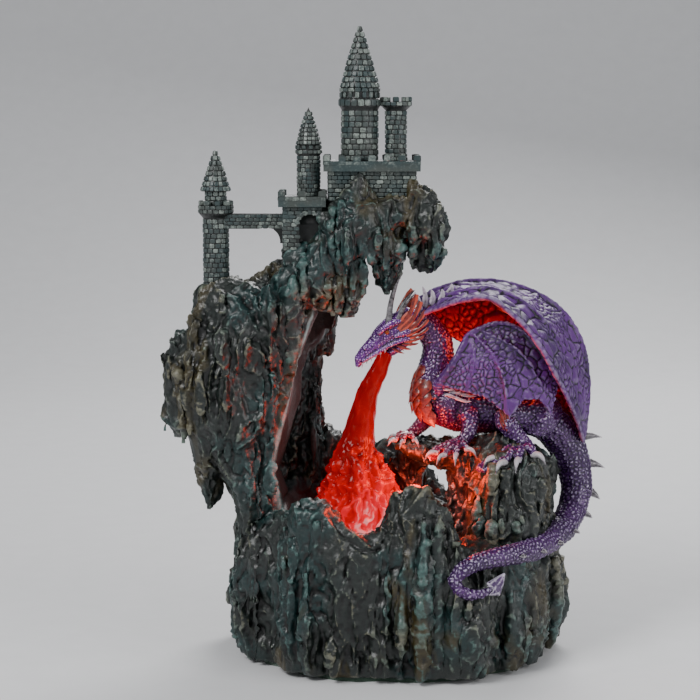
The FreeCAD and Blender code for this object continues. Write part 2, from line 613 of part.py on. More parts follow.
def make_spines(tail):
    """Hooked spines on the outer side of the tail: flat blades that lean towards its tip."""
    spines = []
    for root, out, ahead, radius, length in spine_places():
        side = out.cross(ahead)
        rings = []
        for share, width in ((-0.35, 1.0), (0.0, 1.0), (0.55, 0.62), (1.0, 0.1)):
            middle = root + out * (radius + length * share) + ahead * (length * 0.5 * max(share, 0) ** 1.5)
            long_way, thin_way = ahead * (2.6 * width), side * (1.3 * width)
            rings.append([middle + long_way, middle + thin_way, middle - long_way, middle - thin_way])
        spines.append(cut_by(skin(rings), tail))
    return spines


def make_right_wing():
    """The raised wing: a hood over the back, from its near edge over the top and down to the far flank."""
    near_edge = [(12.5, -14, 168), (21, -23, 172.5), (31, -30, 176.5), (43, -37, 178), (54, -41, 170.5),
                 (64, -41, 159.5), (72, -37, 146), (79.5, -28, 132.5), (87, -15, 117.5), (92.5, -2, 103)]
    top = [(10.5, -1, 173.5), (21, 2, 178), (31, 4, 180.8), (43, 5, 181.8), (57, 6, 179.8), (70, 7, 175),
           (83, 8, 165.5), (92, 9, 150), (95.5, 9, 130), (94.5, 8, 107)]
    back = [(12, 8, 168), (21, 17, 171), (32, 24, 172), (44, 28, 171), (57, 29, 168), (70, 28, 162),
            (81, 27, 151), (87, 25, 138), (90, 22, 122), (91, 17, 106)]
    root = [(17, 5, 158), (24, 10, 156), (34, 13, 150), (44, 15, 146), (54, 16, 142), (64, 16, 137),
            (72, 17, 130), (77, 17, 124), (81, 16, 116), (84.5, 14, 108)]
    hood = membrane([near_edge, top, back, root], 2.4)
    socket = tube([(58, 10, 126, 6, 6), (58, 15, 138, 4.5, 4.5), (56, 17, 146, 3, 3)], sides=10)
    return fused(hood, socket)


def make_left_wing():
    """The folded wing on the near flank: its arm goes up from the shoulder, and the web hangs in points."""
    upper = [(34, -19, 157.5), (40.5, -22, 162), (48, -24, 164), (57, -25.5, 162), (65, -25, 155),
             (72, -23.5, 145), (77, -21, 135)]
    middle = [(27, -21, 145), (36, -26, 147), (45, -29.5, 147), (54, -31, 145), (62, -30.5, 140),
              (69, -28, 135), (75.5, -24, 129)]
    lower = [(19, -20, 134.5), (30, -25.5, 132.5), (41, -29, 130), (53.5, -31.5, 121), (60, -31, 129),
             (67, -28.5, 129), (74, -24.5, 121.5)]
    web = membrane([upper, middle, lower], 2.4)
    arm = tube([(22, -12, 130, 4.6, 5), (20.5, -19, 134, 3.4, 3.6), (27.5, -21.5, 144.5, 2.8, 3),
                (35.5, -20.5, 156, 2.2, 2.4)], sides=10)
    return fused(web, arm)


# ================================================================ flame and light
def make_flame():
    """Clear red fire in the crater and the stream up to the jaw, with a spigot in the light well."""
    fire = tube([(-13, -9, 56.2, 15, 14), (-15, -10, 62, 20, 18), (-17, -10, 74, 19.5, 18),
                 (-18, -9.5, 84, 17, 15), (-20, -9, 92, 13.5, 12.5), (-20.5, -8.5, 98, 10.8, 10),
                 (-18.8, -8, 106, 8.4, 7.6), (-16.5, -8, 117, 6.6, 6), (-14, -8, 129, 5.2, 4.8),
                 (-8.5, -8, 140, 4.3, 4), (-4.5, -8, 149, 3.4, 3.2)], sides=14, rough=0.06, seed=61)
    tongue = tube([(-5, -10, 60, 8, 8), (1, -12, 69, 5, 5), (6, -13, 77, 2.6, 2.6),
                   (9.5, -13, 83.5, 0.8, 0.8)], sides=10, rough=0.06, seed=62)
    spigot = upright(well_radius - spigot_gap, spigot_length + 2, flame_x, flame_y,
                     crater_floor - spigot_length)
    return fused(fire, tongue, spigot)


def make_led_board():
    board = upright(board_radius, board_thickness, flame_x, flame_y, cavity_height - board_thickness)
    for x, y in board_screw_places():
        board = board.cut(upright(screw_radius + screw_gap, board_thickness, x, y,
                                  cavity_height - board_thickness))
    return board


def make_leds():
    lamps = []
    for k in range(led_count):
        turn = 2 * math.pi * k / led_count
        x, y = flame_x + led_circle * math.cos(turn), flame_y + led_circle * math.sin(turn)
        body = upright(led_radius, led_height - led_radius, x, y, cavity_height)
        dome = Part.makeSphere(led_radius, Vector(x, y, cavity_height + led_height - led_radius))
        lamps.append(body.fuse(dome).removeSplitter())
    return Part.makeCompound(lamps)


board_screw_length = 8.0
plate_screw_length = 9.0


def board_screw_places():
    reach = (well_radius + board_radius) / 2
    return [(flame_x, flame_y + side * reach) for side in (-1, 1)]


def plate_screw_places():
    reach = plate_radius - plate_ledge * 0.45
    turns = [math.radians(45 + 90 * k) for k in range(4)]
    return [(reach * math.cos(t), reach * math.sin(t)) for t in turns]


def screw(length, x, y, z):
    """A pan-head screw that points up, with its head's underside at z and a cross slot in the head."""
    shank = upright(screw_radius, length, x, y, z)
    head = upright(screw_head_radius, screw_head, x, y, z - screw_head)
    slot = screw_head_radius * 0.35
    cross = block(screw_head_radius * 1.3, slot, screw_head * 0.5, x, y, z - screw_head)
    other = block(slot, screw_head_radius * 1.3, screw_head * 0.5, x, y, z - screw_head)
    return shank.fuse(head).cut(cross).cut(other)


def make_board_screws():
    z = cavity_height - board_thickness
    return Part.makeCompound([screw(board_screw_length, x, y, z) for x, y in board_screw_places()])


# ================================================================ underside
def make_base_plate():
    """The disc that closes the cavity, with windows for the battery door and the switch lever."""
    plate = upright(plate_radius, plate_thickness, 0, 0, felt_thickness)
    plate = plate.cut(block(door_length + 2 * door_gap, door_depth + 2 * door_gap, plate_thickness, box_x,
                            box_y,
                            felt_thickness))
    plate = plate.cut(block(lever_length + lever_travel + 2 * lever_gap, lever_depth + 2 * lever_gap,
                            plate_thickness,
                            switch_x, switch_y, felt_thickness))
    for x, y in plate_screw_places():
        plate = plate.cut(upright(screw_radius + screw_gap, plate_thickness, x, y, felt_thickness))
        plate = plate.cut(upright(screw_head_radius + screw_gap, screw_head, x, y, felt_thickness))
    for x, y in switch_screw_places():
        plate = plate.cut(upright(screw_radius, plate_thickness, x, y, felt_thickness))
    return plate


def make_plate_screws():
    z = felt_thickness + screw_head
    length = plate_screw_length + plate_thickness - screw_head - 0.5
    return Part.makeCompound([screw(length, x, y, z) for x, y in plate_screw_places()])


def make_felt_pad():
    """Felt under the whole foot, cut away at the battery door and the switch."""
    shrink = 0.975 * (1 - felt_inset / foot_radius)
    turns = [2 * math.pi * k / ROCK_SIDES for k in range(ROCK_SIDES)]
    outline = [foot_outline(t, shrink) for t in turns]
    pad = Part.Face(Part.makePolygon(outline + outline[:1])).extrude(Vector(0, 0, felt_thickness))
    pad = pad.cut(block(door_length + 6, door_depth + 6, felt_thickness, box_x, box_y, 0))
    return pad.cut(block(switch_length + 6, switch_depth + 6, felt_thickness, switch_x, switch_y, 0))


def cell_rows():
    pitch = 2 * cell_radius + cell_gap
    return [box_y + (k - (cell_count - 1) / 2) * pitch for k in range(cell_count)]


def door_screw_places():
    reach = (door_length + box_inner.x) / 4
    return [(box_x - reach, box_y), (box_x + reach, box_y)]


def make_battery_box():
    """The tray that holds the cells, open below, with a flange glued on top of the base plate."""
    flange = block(door_length + 2 * box_flange, door_depth + 2 * box_flange, box_wall, box_x, box_y,
                   plate_top)
    shell = block(box_inner.x + 2 * box_wall, box_inner.y + 2 * box_wall, box_inner.z + 2 * box_wall, box_x,
                  box_y, plate_top)
    tray = flange.fuse(shell).cut(block(box_inner.x, box_inner.y, box_inner.z + box_wall, box_x, box_y,
                                        plate_top))
    for x, y in door_screw_places():
        tray = tray.fuse(upright(screw_head_radius + 0.4, 5.0, x, y, box_floor))
    tray = tray.cut(block(box_inner.x, box_inner.y, box_inner.z, box_x, box_y, box_floor))
    for x, y in door_screw_places():
        tray = tray.cut(upright(screw_radius + screw_gap, 5.0 + box_wall, x, y, plate_top))
    return cut_by(tray.removeSplitter())


cells_z = box_floor + cell_radius + cell_gap


def make_cells():
    """The three cells lie side by side, nub to the left."""
    start = box_x - box_inner.x / 2 + contact_thickness + cell_nub
    cells = []
    for y in cell_rows():
        body = Part.makeCylinder(cell_radius, cell_length, Vector(start, y, cells_z), Vector(1, 0, 0))
        nub = Part.makeCylinder(cell_radius * 0.36, cell_nub, Vector(start - cell_nub, y, cells_z),
                                Vector(1, 0, 0))
        cells.append(body.fuse(nub))
    return Part.makeCompound(cells)


def make_contact_springs():
    """Conical springs that press on the flat ends of the cells."""
    wire = 0.35
    springs = []
    start = box_x + box_inner.x / 2 - contact_thickness - spring_length + wire
    coil = Part.makeHelix((spring_length - 2 * wire) / 3.5, spring_length - 2 * wire, 2.6, 12)
    section = Part.Wire(Part.makeCircle(wire, Vector(2.6, 0, 0), Vector(0, 1, 0)))
    spring = Part.Wire(coil.Edges).makePipeShell([section], True, True)
    spring.rotate(Vector(), Vector(0, 1, 0), 90)
    for y in cell_rows():
        one = spring.copy()
        one.translate(Vector(start, y, cells_z))
        springs.append(one)
    return Part.makeCompound(springs)


def make_contact_plates():
    """Flat contacts: one behind each spring and one at each nub."""
    plates = []
    for y in cell_rows():
        for side in (-1, 1):
            x = box_x + side * (box_inner.x - contact_thickness) / 2
            plates.append(block(contact_thickness, cell_radius * 1.6, cell_radius * 1.6, x, y,
                                cells_z - cell_radius * 0.8))
    return Part.makeCompound(plates)


def make_battery_door():
    """The lid over the cells, flush in the base plate, with a rib on its inside."""
    low = plate_top - 0.1 - door_thickness
    door = block(door_length, door_depth, door_thickness, box_x, box_y, low)
    rib = block(box_inner.x - 4, 1.2, box_wall - 0.2, box_x, box_y + cell_radius + cell_gap / 2,
                plate_top - 0.1)
    door = door.fuse(rib).removeSplitter()
    for x, y in door_screw_places():
        door = door.cut(upright(screw_radius + screw_gap, door_thickness, x, y, low))
        door = door.cut(upright(screw_head_radius + screw_gap, screw_head, x, y, low))
    return door


def make_door_screws():
    z = plate_top - 0.1 - door_thickness + screw_head
    return Part.makeCompound([screw(5.0, x, y, z) for x, y in door_screw_places()])


def switch_screw_places():
    reach = switch_length / 2 + screw_radius + 1.2
    return [(switch_x - reach, switch_y), (switch_x + reach, switch_y)]


def make_switch_body():
    """The slide switch's case on the plate, with an ear at each end and a slot for the lever's foot."""
    case = block(switch_length, switch_depth, switch_height, switch_x, switch_y, plate_top)
    ears = block(switch_length + 4 * (screw_radius + 1.2), switch_depth, 1.2, switch_x, switch_y, plate_top)
    case = case.fuse(ears).removeSplitter()
    room = block(lever_length + 4 + lever_travel + 2 * lever_gap, lever_depth + 1.6, 1.8, switch_x,
                 switch_y, plate_top + 0.8)
    slot = block(lever_length + lever_travel + 2 * lever_gap, lever_depth + 2 * lever_gap, 0.8, switch_x,
                 switch_y, plate_top)
    case = case.cut(room).cut(slot)
    for x, y in switch_screw_places():
        case = case.cut(upright(screw_radius + screw_gap, 1.2, x, y, plate_top))
    return case


def make_switch_lever():
    """The lever, at its on end: a foot inside the case and a ribbed thumb piece below."""
    x = switch_x - lever_travel / 2
    foot = block(lever_length + 4 - 2 * lever_gap, lever_depth + 1.0, 1.2, x, switch_y, plate_top + 1.1)
    low = felt_thickness + 0.3
    stem = block(lever_length, lever_depth, plate_top + 1.1 - low, x, switch_y, low)
    lever = foot.fuse(stem).removeSplitter()
    for k in (-1, 0, 1):
        lever = lever.cut(block(0.5, lever_depth, 0.5, x + k, switch_y, low))
    return lever


def make_switch_screws():
    """Short screws that come down through the ears into the plate."""
    screws = []
    for x, y in switch_screw_places():
        one = screw(plate_thickness + 1.2 - 0.4, 0, 0, 0)
        one.rotate(Vector(), Vector(1, 0, 0), 180)
        one.translate(Vector(x, y, plate_top + 1.2))
        screws.append(one)
    return Part.makeCompound(screws)


def wire(points, radius=None):
    """A wire along straight runs joined by arcs that are as large as the runs allow."""
    radius = radius or wire_radius
    edges = []
    at = points[0]
    for before, corner, after in zip(points, points[1:], points[2:]):
        back, ahead = before - corner, after - corner
        turn = math.pi - back.getAngle(ahead)
        cut = 0.45 * min(back.Length, ahead.Length)
        bend = cut / math.tan(turn / 2)
        back.normalize()
        ahead.normalize()
        start, end = corner + back * cut, corner + ahead * cut
        inward = (back + ahead).normalize()
        middle = corner + inward * (math.hypot(cut, bend) - bend)
        edges += [Part.LineSegment(at, start).toShape(), Part.Arc(start, middle, end).toShape()]
        at = end
    edges.append(Part.LineSegment(at, points[-1]).toShape())
    path = Part.Wire(edges)
    section = Part.Wire(Part.makeCircle(radius, points[0], points[1] - points[0]))
    return path.makePipeShell([section], True, False)


def make_red_lead():
    """From the cells' first contact, out of the tray's left wall, up to the board."""
    wall = box_x - box_inner.x / 2 - box_wall
    board = cavity_height - board_thickness
    end = Vector(flame_x - board_radius * 0.6, flame_y + 4, board)
    return wire([Vector(wall, box_y + 6, cells_z + 1), Vector(wall - 5, box_y + 6, cells_z + 1),
                 Vector(wall - 7, box_y + 3, cells_z + 9), Vector(end.x - 2, end.y + 6, board - 14),
                 Vector(end.x, end.y, board - 7), end])


def make_black_leads():
    """From the tray to the switch, and from the switch to the board."""
    wall = box_x - box_inner.x / 2 - box_wall
    board = cavity_height - board_thickness
    top = plate_top + switch_height
    left, right = switch_x - switch_length * 0.3, switch_x + switch_length * 0.3
    tray = wire([Vector(wall, box_y - 8, cells_z), Vector(wall - 5, box_y - 8, cells_z),
                 Vector(wall - 5, switch_y + 9, cells_z + 5),
                 Vector(left - 9, switch_y + 3, top + 8), Vector(left, switch_y, top + 8),
                 Vector(left, switch_y, top)])
    end = Vector(flame_x + board_radius * 0.55, flame_y - 6, board)
    up = wire([Vector(right, switch_y, top), Vector(right, switch_y, top + 8),
               Vector(right - 2, switch_y + 3, board - 14),
               Vector(end.x, end.y, board - 8), end])
    return Part.makeCompound([tray, up])


# ================================================================ hidden steel
def dowel_lines():
    """Dowels that join the castings: (middle, direction)."""
    return [(spot(-68, -8, 68), Vector(0, 0, 1)), (spot(-66, 14, 68), Vector(0, 0, 1)),
            (spot(-60, -4, 172), Vector(0.55, 0, 1).normalize()), (spot(54, -14, 64), Vector(0, 0, 1)),
            (spot(54, 10, 64), Vector(0, 0, 1))]


def dowels(radius, length):
    return [Part.makeCylinder(radius, length, middle - way * (length / 2), way) for middle,
            way in dowel_lines()]


def wing_pin_lines():
    return [(spot(58, 12, 131), Vector(0, 0.35, 1).normalize(), 9.0),
            (spot(21, -14.5, 131), Vector(0, -1, 0.3).normalize(), 6.0)]


def wing_pins(radius, extra):
    return [Part.makeCylinder(radius, length + extra, middle - way * ((length + extra) / 2), way)
            for middle, way, length in wing_pin_lines()]


# ================================================================ the whole
def build():
    """Every node, cut to its neighbours in the order that the castings are glued."""
    chute = make_chute()
    base_rock = make_base_rock()
    keep, gatehouse, watch_tower = make_keep(), make_gatehouse(), make_watch_tower()
    crag_rock = cut_by(make_crag_rock(), base_rock, chute, watch_tower, pin_hole(*watch_place))
    crag_arm = cut_by(make_crag_arm(), chute, crag_rock, keep, gatehouse)
    perch_rock = cut_by(make_perch_rock(), base_rock)
    sockets = dowels(dowel_radius + dowel_gap, dowel_length + 2 * dowel_gap)
    base_rock, crag_rock, crag_arm, perch_rock = (
        cut_by(rock, *sockets) for rock in (base_rock, crag_rock, crag_arm, perch_rock))
    pin_sockets = wing_pins(0.8 + pin_gap, 2 * pin_gap)
    body = cut_by(make_dragon_body(), perch_rock, *pin_sockets)
    head = cut_by(make_dragon_head(), body)
    tail = cut_by(make_tail(), body, base_rock, perch_rock)
    tail_tip = cut_by(make_tail_tip(), tail, base_rock)
    right_wing = cut_by(make_right_wing(), body, tail, head, *pin_sockets)
    left_wing = cut_by(make_left_wing(), body, right_wing, *pin_sockets)
    flame = cut_by(make_flame(), base_rock, head)
    return {
        "base_rock": base_rock, "crag_rock": crag_rock, "crag_arm": crag_arm, "perch_rock": perch_rock,
        "keep": keep, "great_tower": make_great_tower(), "round_tower": make_round_tower(),
        "gatehouse": gatehouse, "gate_tower": make_gate_tower(), "watch_tower": watch_tower,
        "bridge": cut_by(make_bridge(), crag_arm), "tower_pins": make_tower_pins(),
        "rock_dowels": Part.makeCompound(dowels(dowel_radius, dowel_length)),
        "dragon_body": body, "dragon_head": head, "horns": make_horns(head, body, right_wing), "tail": tail,
        "tail_tip": tail_tip,
        "spines": Part.makeCompound([cut_by(s, right_wing, body) for s in make_spines(tail)]),
        "right_wing": right_wing, "left_wing": left_wing,
        "wing_pins": Part.makeCompound(wing_pins(0.8, 0)),
        "flame": flame, "led_board": make_led_board(), "leds": make_leds(),
        "board_screws": make_board_screws(),
        "base_plate": make_base_plate(), "plate_screws": make_plate_screws(), "felt_pad": make_felt_pad(),
        "battery_box": make_battery_box(), "cells": make_cells(), "contact_springs": make_contact_springs(),
        "contact_plates": make_contact_plates(), "battery_door": make_battery_door(),
        "door_screws": make_door_screws(), "switch_body": make_switch_body(),
        "switch_lever": make_switch_lever(),
        "switch_screws": make_switch_screws(), "red_lead": make_red_lead(),
        "black_leads": make_black_leads(),
    }


os.makedirs("parts", exist_ok=True)
for name, shape in build().items():
    shape.exportStep(f"parts/{name}.step")
    print(name, "valid" if shape.isValid() else "NOT VALID", len(shape.Solids), "solids",
          round(shape.Volume), "mm3")
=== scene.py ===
"""The looks of the dice tower: painted rock, brick castle, scaled dragon and lit fire, on the CAD frame."""

import math
import random

import bpy
import numpy as np
from mathutils import Matrix, Vector


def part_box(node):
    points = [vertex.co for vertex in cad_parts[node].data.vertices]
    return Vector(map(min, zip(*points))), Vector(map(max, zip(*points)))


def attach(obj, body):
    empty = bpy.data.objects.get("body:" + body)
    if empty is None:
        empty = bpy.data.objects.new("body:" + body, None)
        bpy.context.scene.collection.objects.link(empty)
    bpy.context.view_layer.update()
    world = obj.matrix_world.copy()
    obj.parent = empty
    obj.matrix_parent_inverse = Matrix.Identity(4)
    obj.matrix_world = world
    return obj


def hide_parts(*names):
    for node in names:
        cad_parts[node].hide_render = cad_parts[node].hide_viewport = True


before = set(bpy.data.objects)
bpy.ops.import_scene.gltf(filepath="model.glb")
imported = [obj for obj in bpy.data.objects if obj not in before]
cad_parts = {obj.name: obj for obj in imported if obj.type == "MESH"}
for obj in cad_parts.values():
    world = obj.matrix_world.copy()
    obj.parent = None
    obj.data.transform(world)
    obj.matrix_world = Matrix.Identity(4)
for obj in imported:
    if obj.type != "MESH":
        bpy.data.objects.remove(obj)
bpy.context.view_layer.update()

MM = 0.001
CAMERA_DIPS = 7.496                    # degrees
PAPER_BEND = 900                       # millimetres: where the floor starts to curve up, and its radius
FIRE_HEART = (-14.0, -10.0, 78.0)      # where the lamps light the fire, in millimetres
FIRE_CORE = (-10.0, -26.0, 63.0)       # where the fire is nearly white
HOOD_HOLLOW = (50.0, -4.0, 132.0)      # a place under the raised wing

# The hollow that the dice run through: x, y, z and radius of its stations, in millimetres.
CHANNEL = ((-43, 28, 196, 13.5), (-42.5, 25, 186, 13.5), (-41, 18, 175, 12.5), (-39.5, 9, 163, 12.5),
           (-39, 2, 150, 12.5), (-39, -2, 130, 12.5), (-40, -5, 112, 14), (-41, -7, 92, 16.5),
           (-33, -8, 74, 20))
CHANNEL_TOP, CHANNEL_FOOT = 186, 62    # the heights between which it shows as a channel with a rim
FOLD_FREE = 6                          # no fold of rock starts nearer to the channel than this

DRUM_REACH = (75, 66)                  # the drum's half width and half depth
DRUM_HOLLOW = (60, 45)                 # radius and height of the space for the lamps and the cells
LIGHT_WELL = (-13, -8, 14, 58)         # x, y, radius and height of the well under the fire, with its wall


# ---------------------------------------------------------------- the bench: small tools used by every piece
def put_down():
    bpy.ops.object.select_all(action="DESELECT")


def hold(piece):
    put_down()
    piece.select_set(True)
    bpy.context.view_layer.objects.active = piece
    return piece


def in_edit(piece):
    hold(piece)
    bpy.ops.object.mode_set(mode="EDIT")
    bpy.ops.mesh.select_all(action="SELECT")


def out_of_edit():
    bpy.ops.object.mode_set(mode="OBJECT")


def weld(piece, reach=0.00001):
    in_edit(piece)
    bpy.ops.mesh.remove_doubles(threshold=reach)
    out_of_edit()


def one_piece(name, pieces):
    """Joins pieces into the first, under a new name."""
    hold(pieces[0])
    for other in pieces[1:]:
        other.select_set(True)
    if len(pieces) > 1:
        bpy.ops.object.join()
    pieces[0].name = name
    return pieces[0]


def casting(name, *nodes):
    """A fresh copy of CAD nodes as one piece, with their loose triangles welded."""
    copies = []
    for node_name in nodes:
        copy = bpy.data.objects.new(name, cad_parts[node_name].data.copy())
        copy.data.materials.clear()
        bpy.context.scene.collection.objects.link(copy)
        copies.append(copy)
    piece = one_piece(name, copies)
    weld(piece)
    return piece


def modify(piece, kind, **settings):
    """Adds a modifier and applies it."""
    hold(piece)
    modifier = piece.modifiers.new(kind, kind)
    for key, value in settings.items():
        setattr(modifier, key, value)
    bpy.ops.object.modifier_apply(modifier=modifier.name)
    return piece


def clay(piece, grain, rounds=3):
    """Turns whatever overlaps in the piece into one skin of even grain, in millimetres, and softens it."""
    modify(piece, "REMESH", mode="VOXEL", voxel_size=grain * MM, adaptivity=0.0)
    if rounds:
        modify(piece, "SMOOTH", factor=0.5, iterations=rounds)
    return piece


def stroke(points, radii, sides=2, steps=5):
    """A tapered limb drawn through points, in millimetres, closed at its ends."""
    curve = bpy.data.curves.new("stroke", "CURVE")
    curve.dimensions = "3D"
    curve.bevel_depth = MM
    curve.bevel_resolution = sides
    curve.resolution_u = steps
    curve.use_fill_caps = True
    spline = curve.splines.new("BEZIER")
    spline.bezier_points.add(len(points) - 1)
    for knot, point, radius in zip(spline.bezier_points, points, radii):
        knot.co = Vector(point) * MM
        knot.radius = radius
        knot.handle_left_type = knot.handle_right_type = "AUTO"
    limb = bpy.data.objects.new("stroke", curve)
    bpy.context.scene.collection.objects.link(limb)
    hold(limb)
    bpy.ops.object.convert(target="MESH")
    return bpy.context.object


def plate(root, tip, out, width, thick, bend=0.0):
    """A pointed plate from root to tip that lies against out, in millimetres.

    bend moves its middle to the side."""
    root, way = Vector(root), Vector(tip) - Vector(root)
    across = way.normalized().cross(Vector(out)).normalized()
    face = across.cross(way.normalized())
    leaf = stroke([(0, 0, 0), (bend / width, 0, 0.45), (0, 0, 1)], [0.34, 0.5, 0.05])
    unit = places_of(leaf)
    aside = unit[:, 0] - bend / width * np.sin(np.pi * unit[:, 2])
    mark(leaf, "relief", 0.55 * unit[:, 2] + 6.0 * aside ** 2 - 0.45)
    turn = Matrix((across * width, face * thick, way)).transposed().to_4x4()
    leaf.data.transform(Matrix.Translation(root * MM) @ turn)
    return leaf


def places_of(piece):
    """The piece's points as an array, in millimetres."""
    flat = np.empty(len(piece.data.vertices) * 3)
    piece.data.vertices.foreach_get("co", flat)
    return flat.reshape(-1, 3) / MM


def set_places(piece, places):
    piece.data.vertices.foreach_set("co", (places * MM).ravel())
    piece.data.update()


def ways_of(piece):
    """Each point's normal."""
    flat = np.empty(len(piece.data.vertices) * 3)
    piece.data.vertices.foreach_get("normal", flat)
    return flat.reshape(-1, 3)


def mark(piece, name, values):
    """Writes one number per point, for the materials and the sculpting."""
    layer = piece.data.attributes.get(name) or piece.data.attributes.new(name, "FLOAT", "POINT")
    layer.data.foreach_set("value", np.asarray(values, np.float32))


def spread(piece, values, rounds):
    """Evens values out between neighbouring points."""
    ends = np.empty(len(piece.data.edges) * 2, np.int64)
    piece.data.edges.foreach_get("vertices", ends)
    a, b = ends[::2], ends[1::2]
    count = len(values)
    near = np.maximum(np.bincount(a, minlength=count) + np.bincount(b, minlength=count), 1)
    columns = values.reshape(count, -1).copy()
    for _ in range(rounds):
        for k in range(columns.shape[1]):
            column = columns[:, k]
            columns[:, k] = (np.bincount(a, column[b], count) + np.bincount(b, column[a], count)) / near
    return columns.reshape(values.shape)


def mark_relief(piece, reach, top_light=0.15):
    """Notes how far each point stands out of its surroundings: 1 on a ridge, -1 in a crevice.

    What faces up gets more, by the given share: partly where a dry brush catches, partly a painted highlight
    from light above."""
    places, ways = places_of(piece), ways_of(piece)
    height = np.einsum("ij,ij->i", places - spread(piece, places, reach), ways)
    full = max(np.percentile(np.abs(height), 88), 1e-6)
    # the normal's upward part adds a painted highlight to what faces up
    mark(piece, "relief", np.clip(height / full, -1, 1) + top_light * ways[:, 2])


def from_lines(places, lines):
    """Distance of each point from the nearest limb's surface. A limb's knots are (x, y, z, radius)."""
    best = np.full(len(places), 1e9)
    for line in lines:
        for a, b in zip(line, line[1:]):
            start, run = np.array(a[:3]), np.array(b[:3]) - np.array(a[:3])
            share = np.clip((places - start) @ run / (run @ run), 0, 1)
            away = np.linalg.norm(places - start - share[:, None] * run, axis=1)
            best = np.minimum(best, away - (a[3] + (b[3] - a[3]) * share))
    return best


def turned_away(piece, centre):
    """For each point, how much it faces away from a place: 1 outwards, -1 inwards."""
    out = places_of(piece) - np.array(centre)
    out /= np.linalg.norm(out, axis=1)[:, None] + 1e-9
    return np.einsum("ij,ij->i", out, ways_of(piece))


def shade(piece, angle=40):
    hold(piece)
    bpy.ops.object.shade_smooth_by_angle(angle=math.radians(angle))


def done(piece, material, slot, *replaced, body="root"):
    """Gives the piece its finish and its place in the frame."""
    piece.data.materials.clear()
    piece.data.materials.append(material)
    if replaced:
        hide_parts(*replaced)
    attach(piece, body)
    return piece


def fit(name, pieces, finish, slot, *replaced, reach=0):
    """Joins small parts and finishes them. reach is mark_relief's, or 0 where the parts have their relief."""
    piece = one_piece(name, pieces)
    if reach:
        mark_relief(piece, reach)
    shade(piece, 60)
    return done(piece, finish, slot, *replaced)


# ---------------------------------------------------------------- nodes, for materials and for sculpting
def node(tree, kind, inputs=None, **settings):
    """Adds a node. inputs maps a socket's name or number to a value or to another node's output."""
    made = tree.nodes.new(kind)
    for key, value in settings.items():
        setattr(made, key, value)
    for key, value in (inputs or {}).items():
        if isinstance(value, bpy.types.NodeSocket):
            tree.links.new(value, made.inputs[key])
        else:
            made.inputs[key].default_value = value
    return made


def maths(tree, operation, a, b=0.0):
    return node(tree, "ShaderNodeMath", {0: a, 1: b}, operation=operation).outputs[0]


def plus(tree, a, b):
    return maths(tree, "ADD", a, b)


def less(tree, a, b):
    return maths(tree, "SUBTRACT", a, b)


def times(tree, a, b):
    return maths(tree, "MULTIPLY", a, b)


def power(tree, a, b):
    return maths(tree, "POWER", a, b)


def ranged(tree, value, low, high, to_low=0.0, to_high=1.0, kind="LINEAR"):
    sockets = {"Value": value, "From Min": low, "From Max": high, "To Min": to_low, "To Max": to_high}
    return node(tree, "ShaderNodeMapRange", sockets, interpolation_type=kind).outputs[0]


def stretched(tree, place, x, y, z):
    return node(tree, "ShaderNodeVectorMath", {0: place, 1: (x, y, z)}, operation="MULTIPLY").outputs[0]


def distance(tree, place, spot):
    """How far the place is from a spot that is given in millimetres."""
    spot = tuple(c * MM for c in spot)
    return node(tree, "ShaderNodeVectorMath", {0: place, 1: spot}, operation="DISTANCE").outputs["Value"]


def noise(tree, place, scale, detail=2.0, rough=0.5, warp=0.0):
    sockets = {"Vector": place, "Scale": scale, "Detail": detail, "Roughness": rough, "Distortion": warp}
    return node(tree, "ShaderNodeTexNoise", sockets).outputs


def edges_of_cells(tree, place, scale, random_share=1.0):
    return node(tree, "ShaderNodeTexVoronoi", {"Vector": place, "Scale": scale, "Randomness": random_share},
                feature="DISTANCE_TO_EDGE").outputs["Distance"]


def mixed(tree, share, a, b):
    made = tree.nodes.new("ShaderNodeMix")
    made.data_type = "RGBA"
    for key, value in (("Factor_Float", share), ("A_Color", a), ("B_Color", b)):
        socket = next(s for s in made.inputs if s.identifier == key)
        if isinstance(value, bpy.types.NodeSocket):
            tree.links.new(value, socket)
        else:
            socket.default_value = value
    return next(s for s in made.outputs if s.identifier == "Result_Color")


def tone(red, green, blue):
    return (red, green, blue, 1.0)


# ---------------------------------------------------------------- sculpting the surface
def sculpt(piece, name, shape):
    """Pushes the surface along its normals by the height, in metres, that shape(tree, place) makes."""
    tree = bpy.data.node_groups.new(name, "GeometryNodeTree")
    tree.interface.new_socket("Geometry", in_out="INPUT", socket_type="NodeSocketGeometry")
    tree.interface.new_socket("Geometry", in_out="OUTPUT", socket_type="NodeSocketGeometry")
    start = tree.nodes.new("NodeGroupInput")
    end = tree.nodes.new("NodeGroupOutput")
    place = node(tree, "GeometryNodeInputPosition").outputs[0]
    way = node(tree, "GeometryNodeInputNormal").outputs[0]
    give = node(tree, "GeometryNodeInputNamedAttribute", {"Name": "give"},
                data_type="FLOAT").outputs["Attribute"]
    height = times(tree, shape(tree, place), give)
    offset = node(tree, "ShaderNodeVectorMath", {0: way, "Scale": height}, operation="SCALE").outputs[0]
    moved = node(tree, "GeometryNodeSetPosition", {"Geometry": start.outputs[0], "Offset": offset})
    tree.links.new(moved.outputs[0], end.inputs[0])
    if "give" not in piece.data.attributes:
        mark(piece, "give", np.ones(len(piece.data.vertices)))
    modify(piece, "NODES", node_group=tree)
    return piece


def ridge(tree, pattern, level, reach, on_line, beside, kind="LINEAR"):
    """A height of on_line where the pattern crosses level, which turns into beside within reach."""
    away = maths(tree, "ABSOLUTE", less(tree, pattern, level))
    return ranged(tree, away, 0.0, reach, on_line, beside, kind)


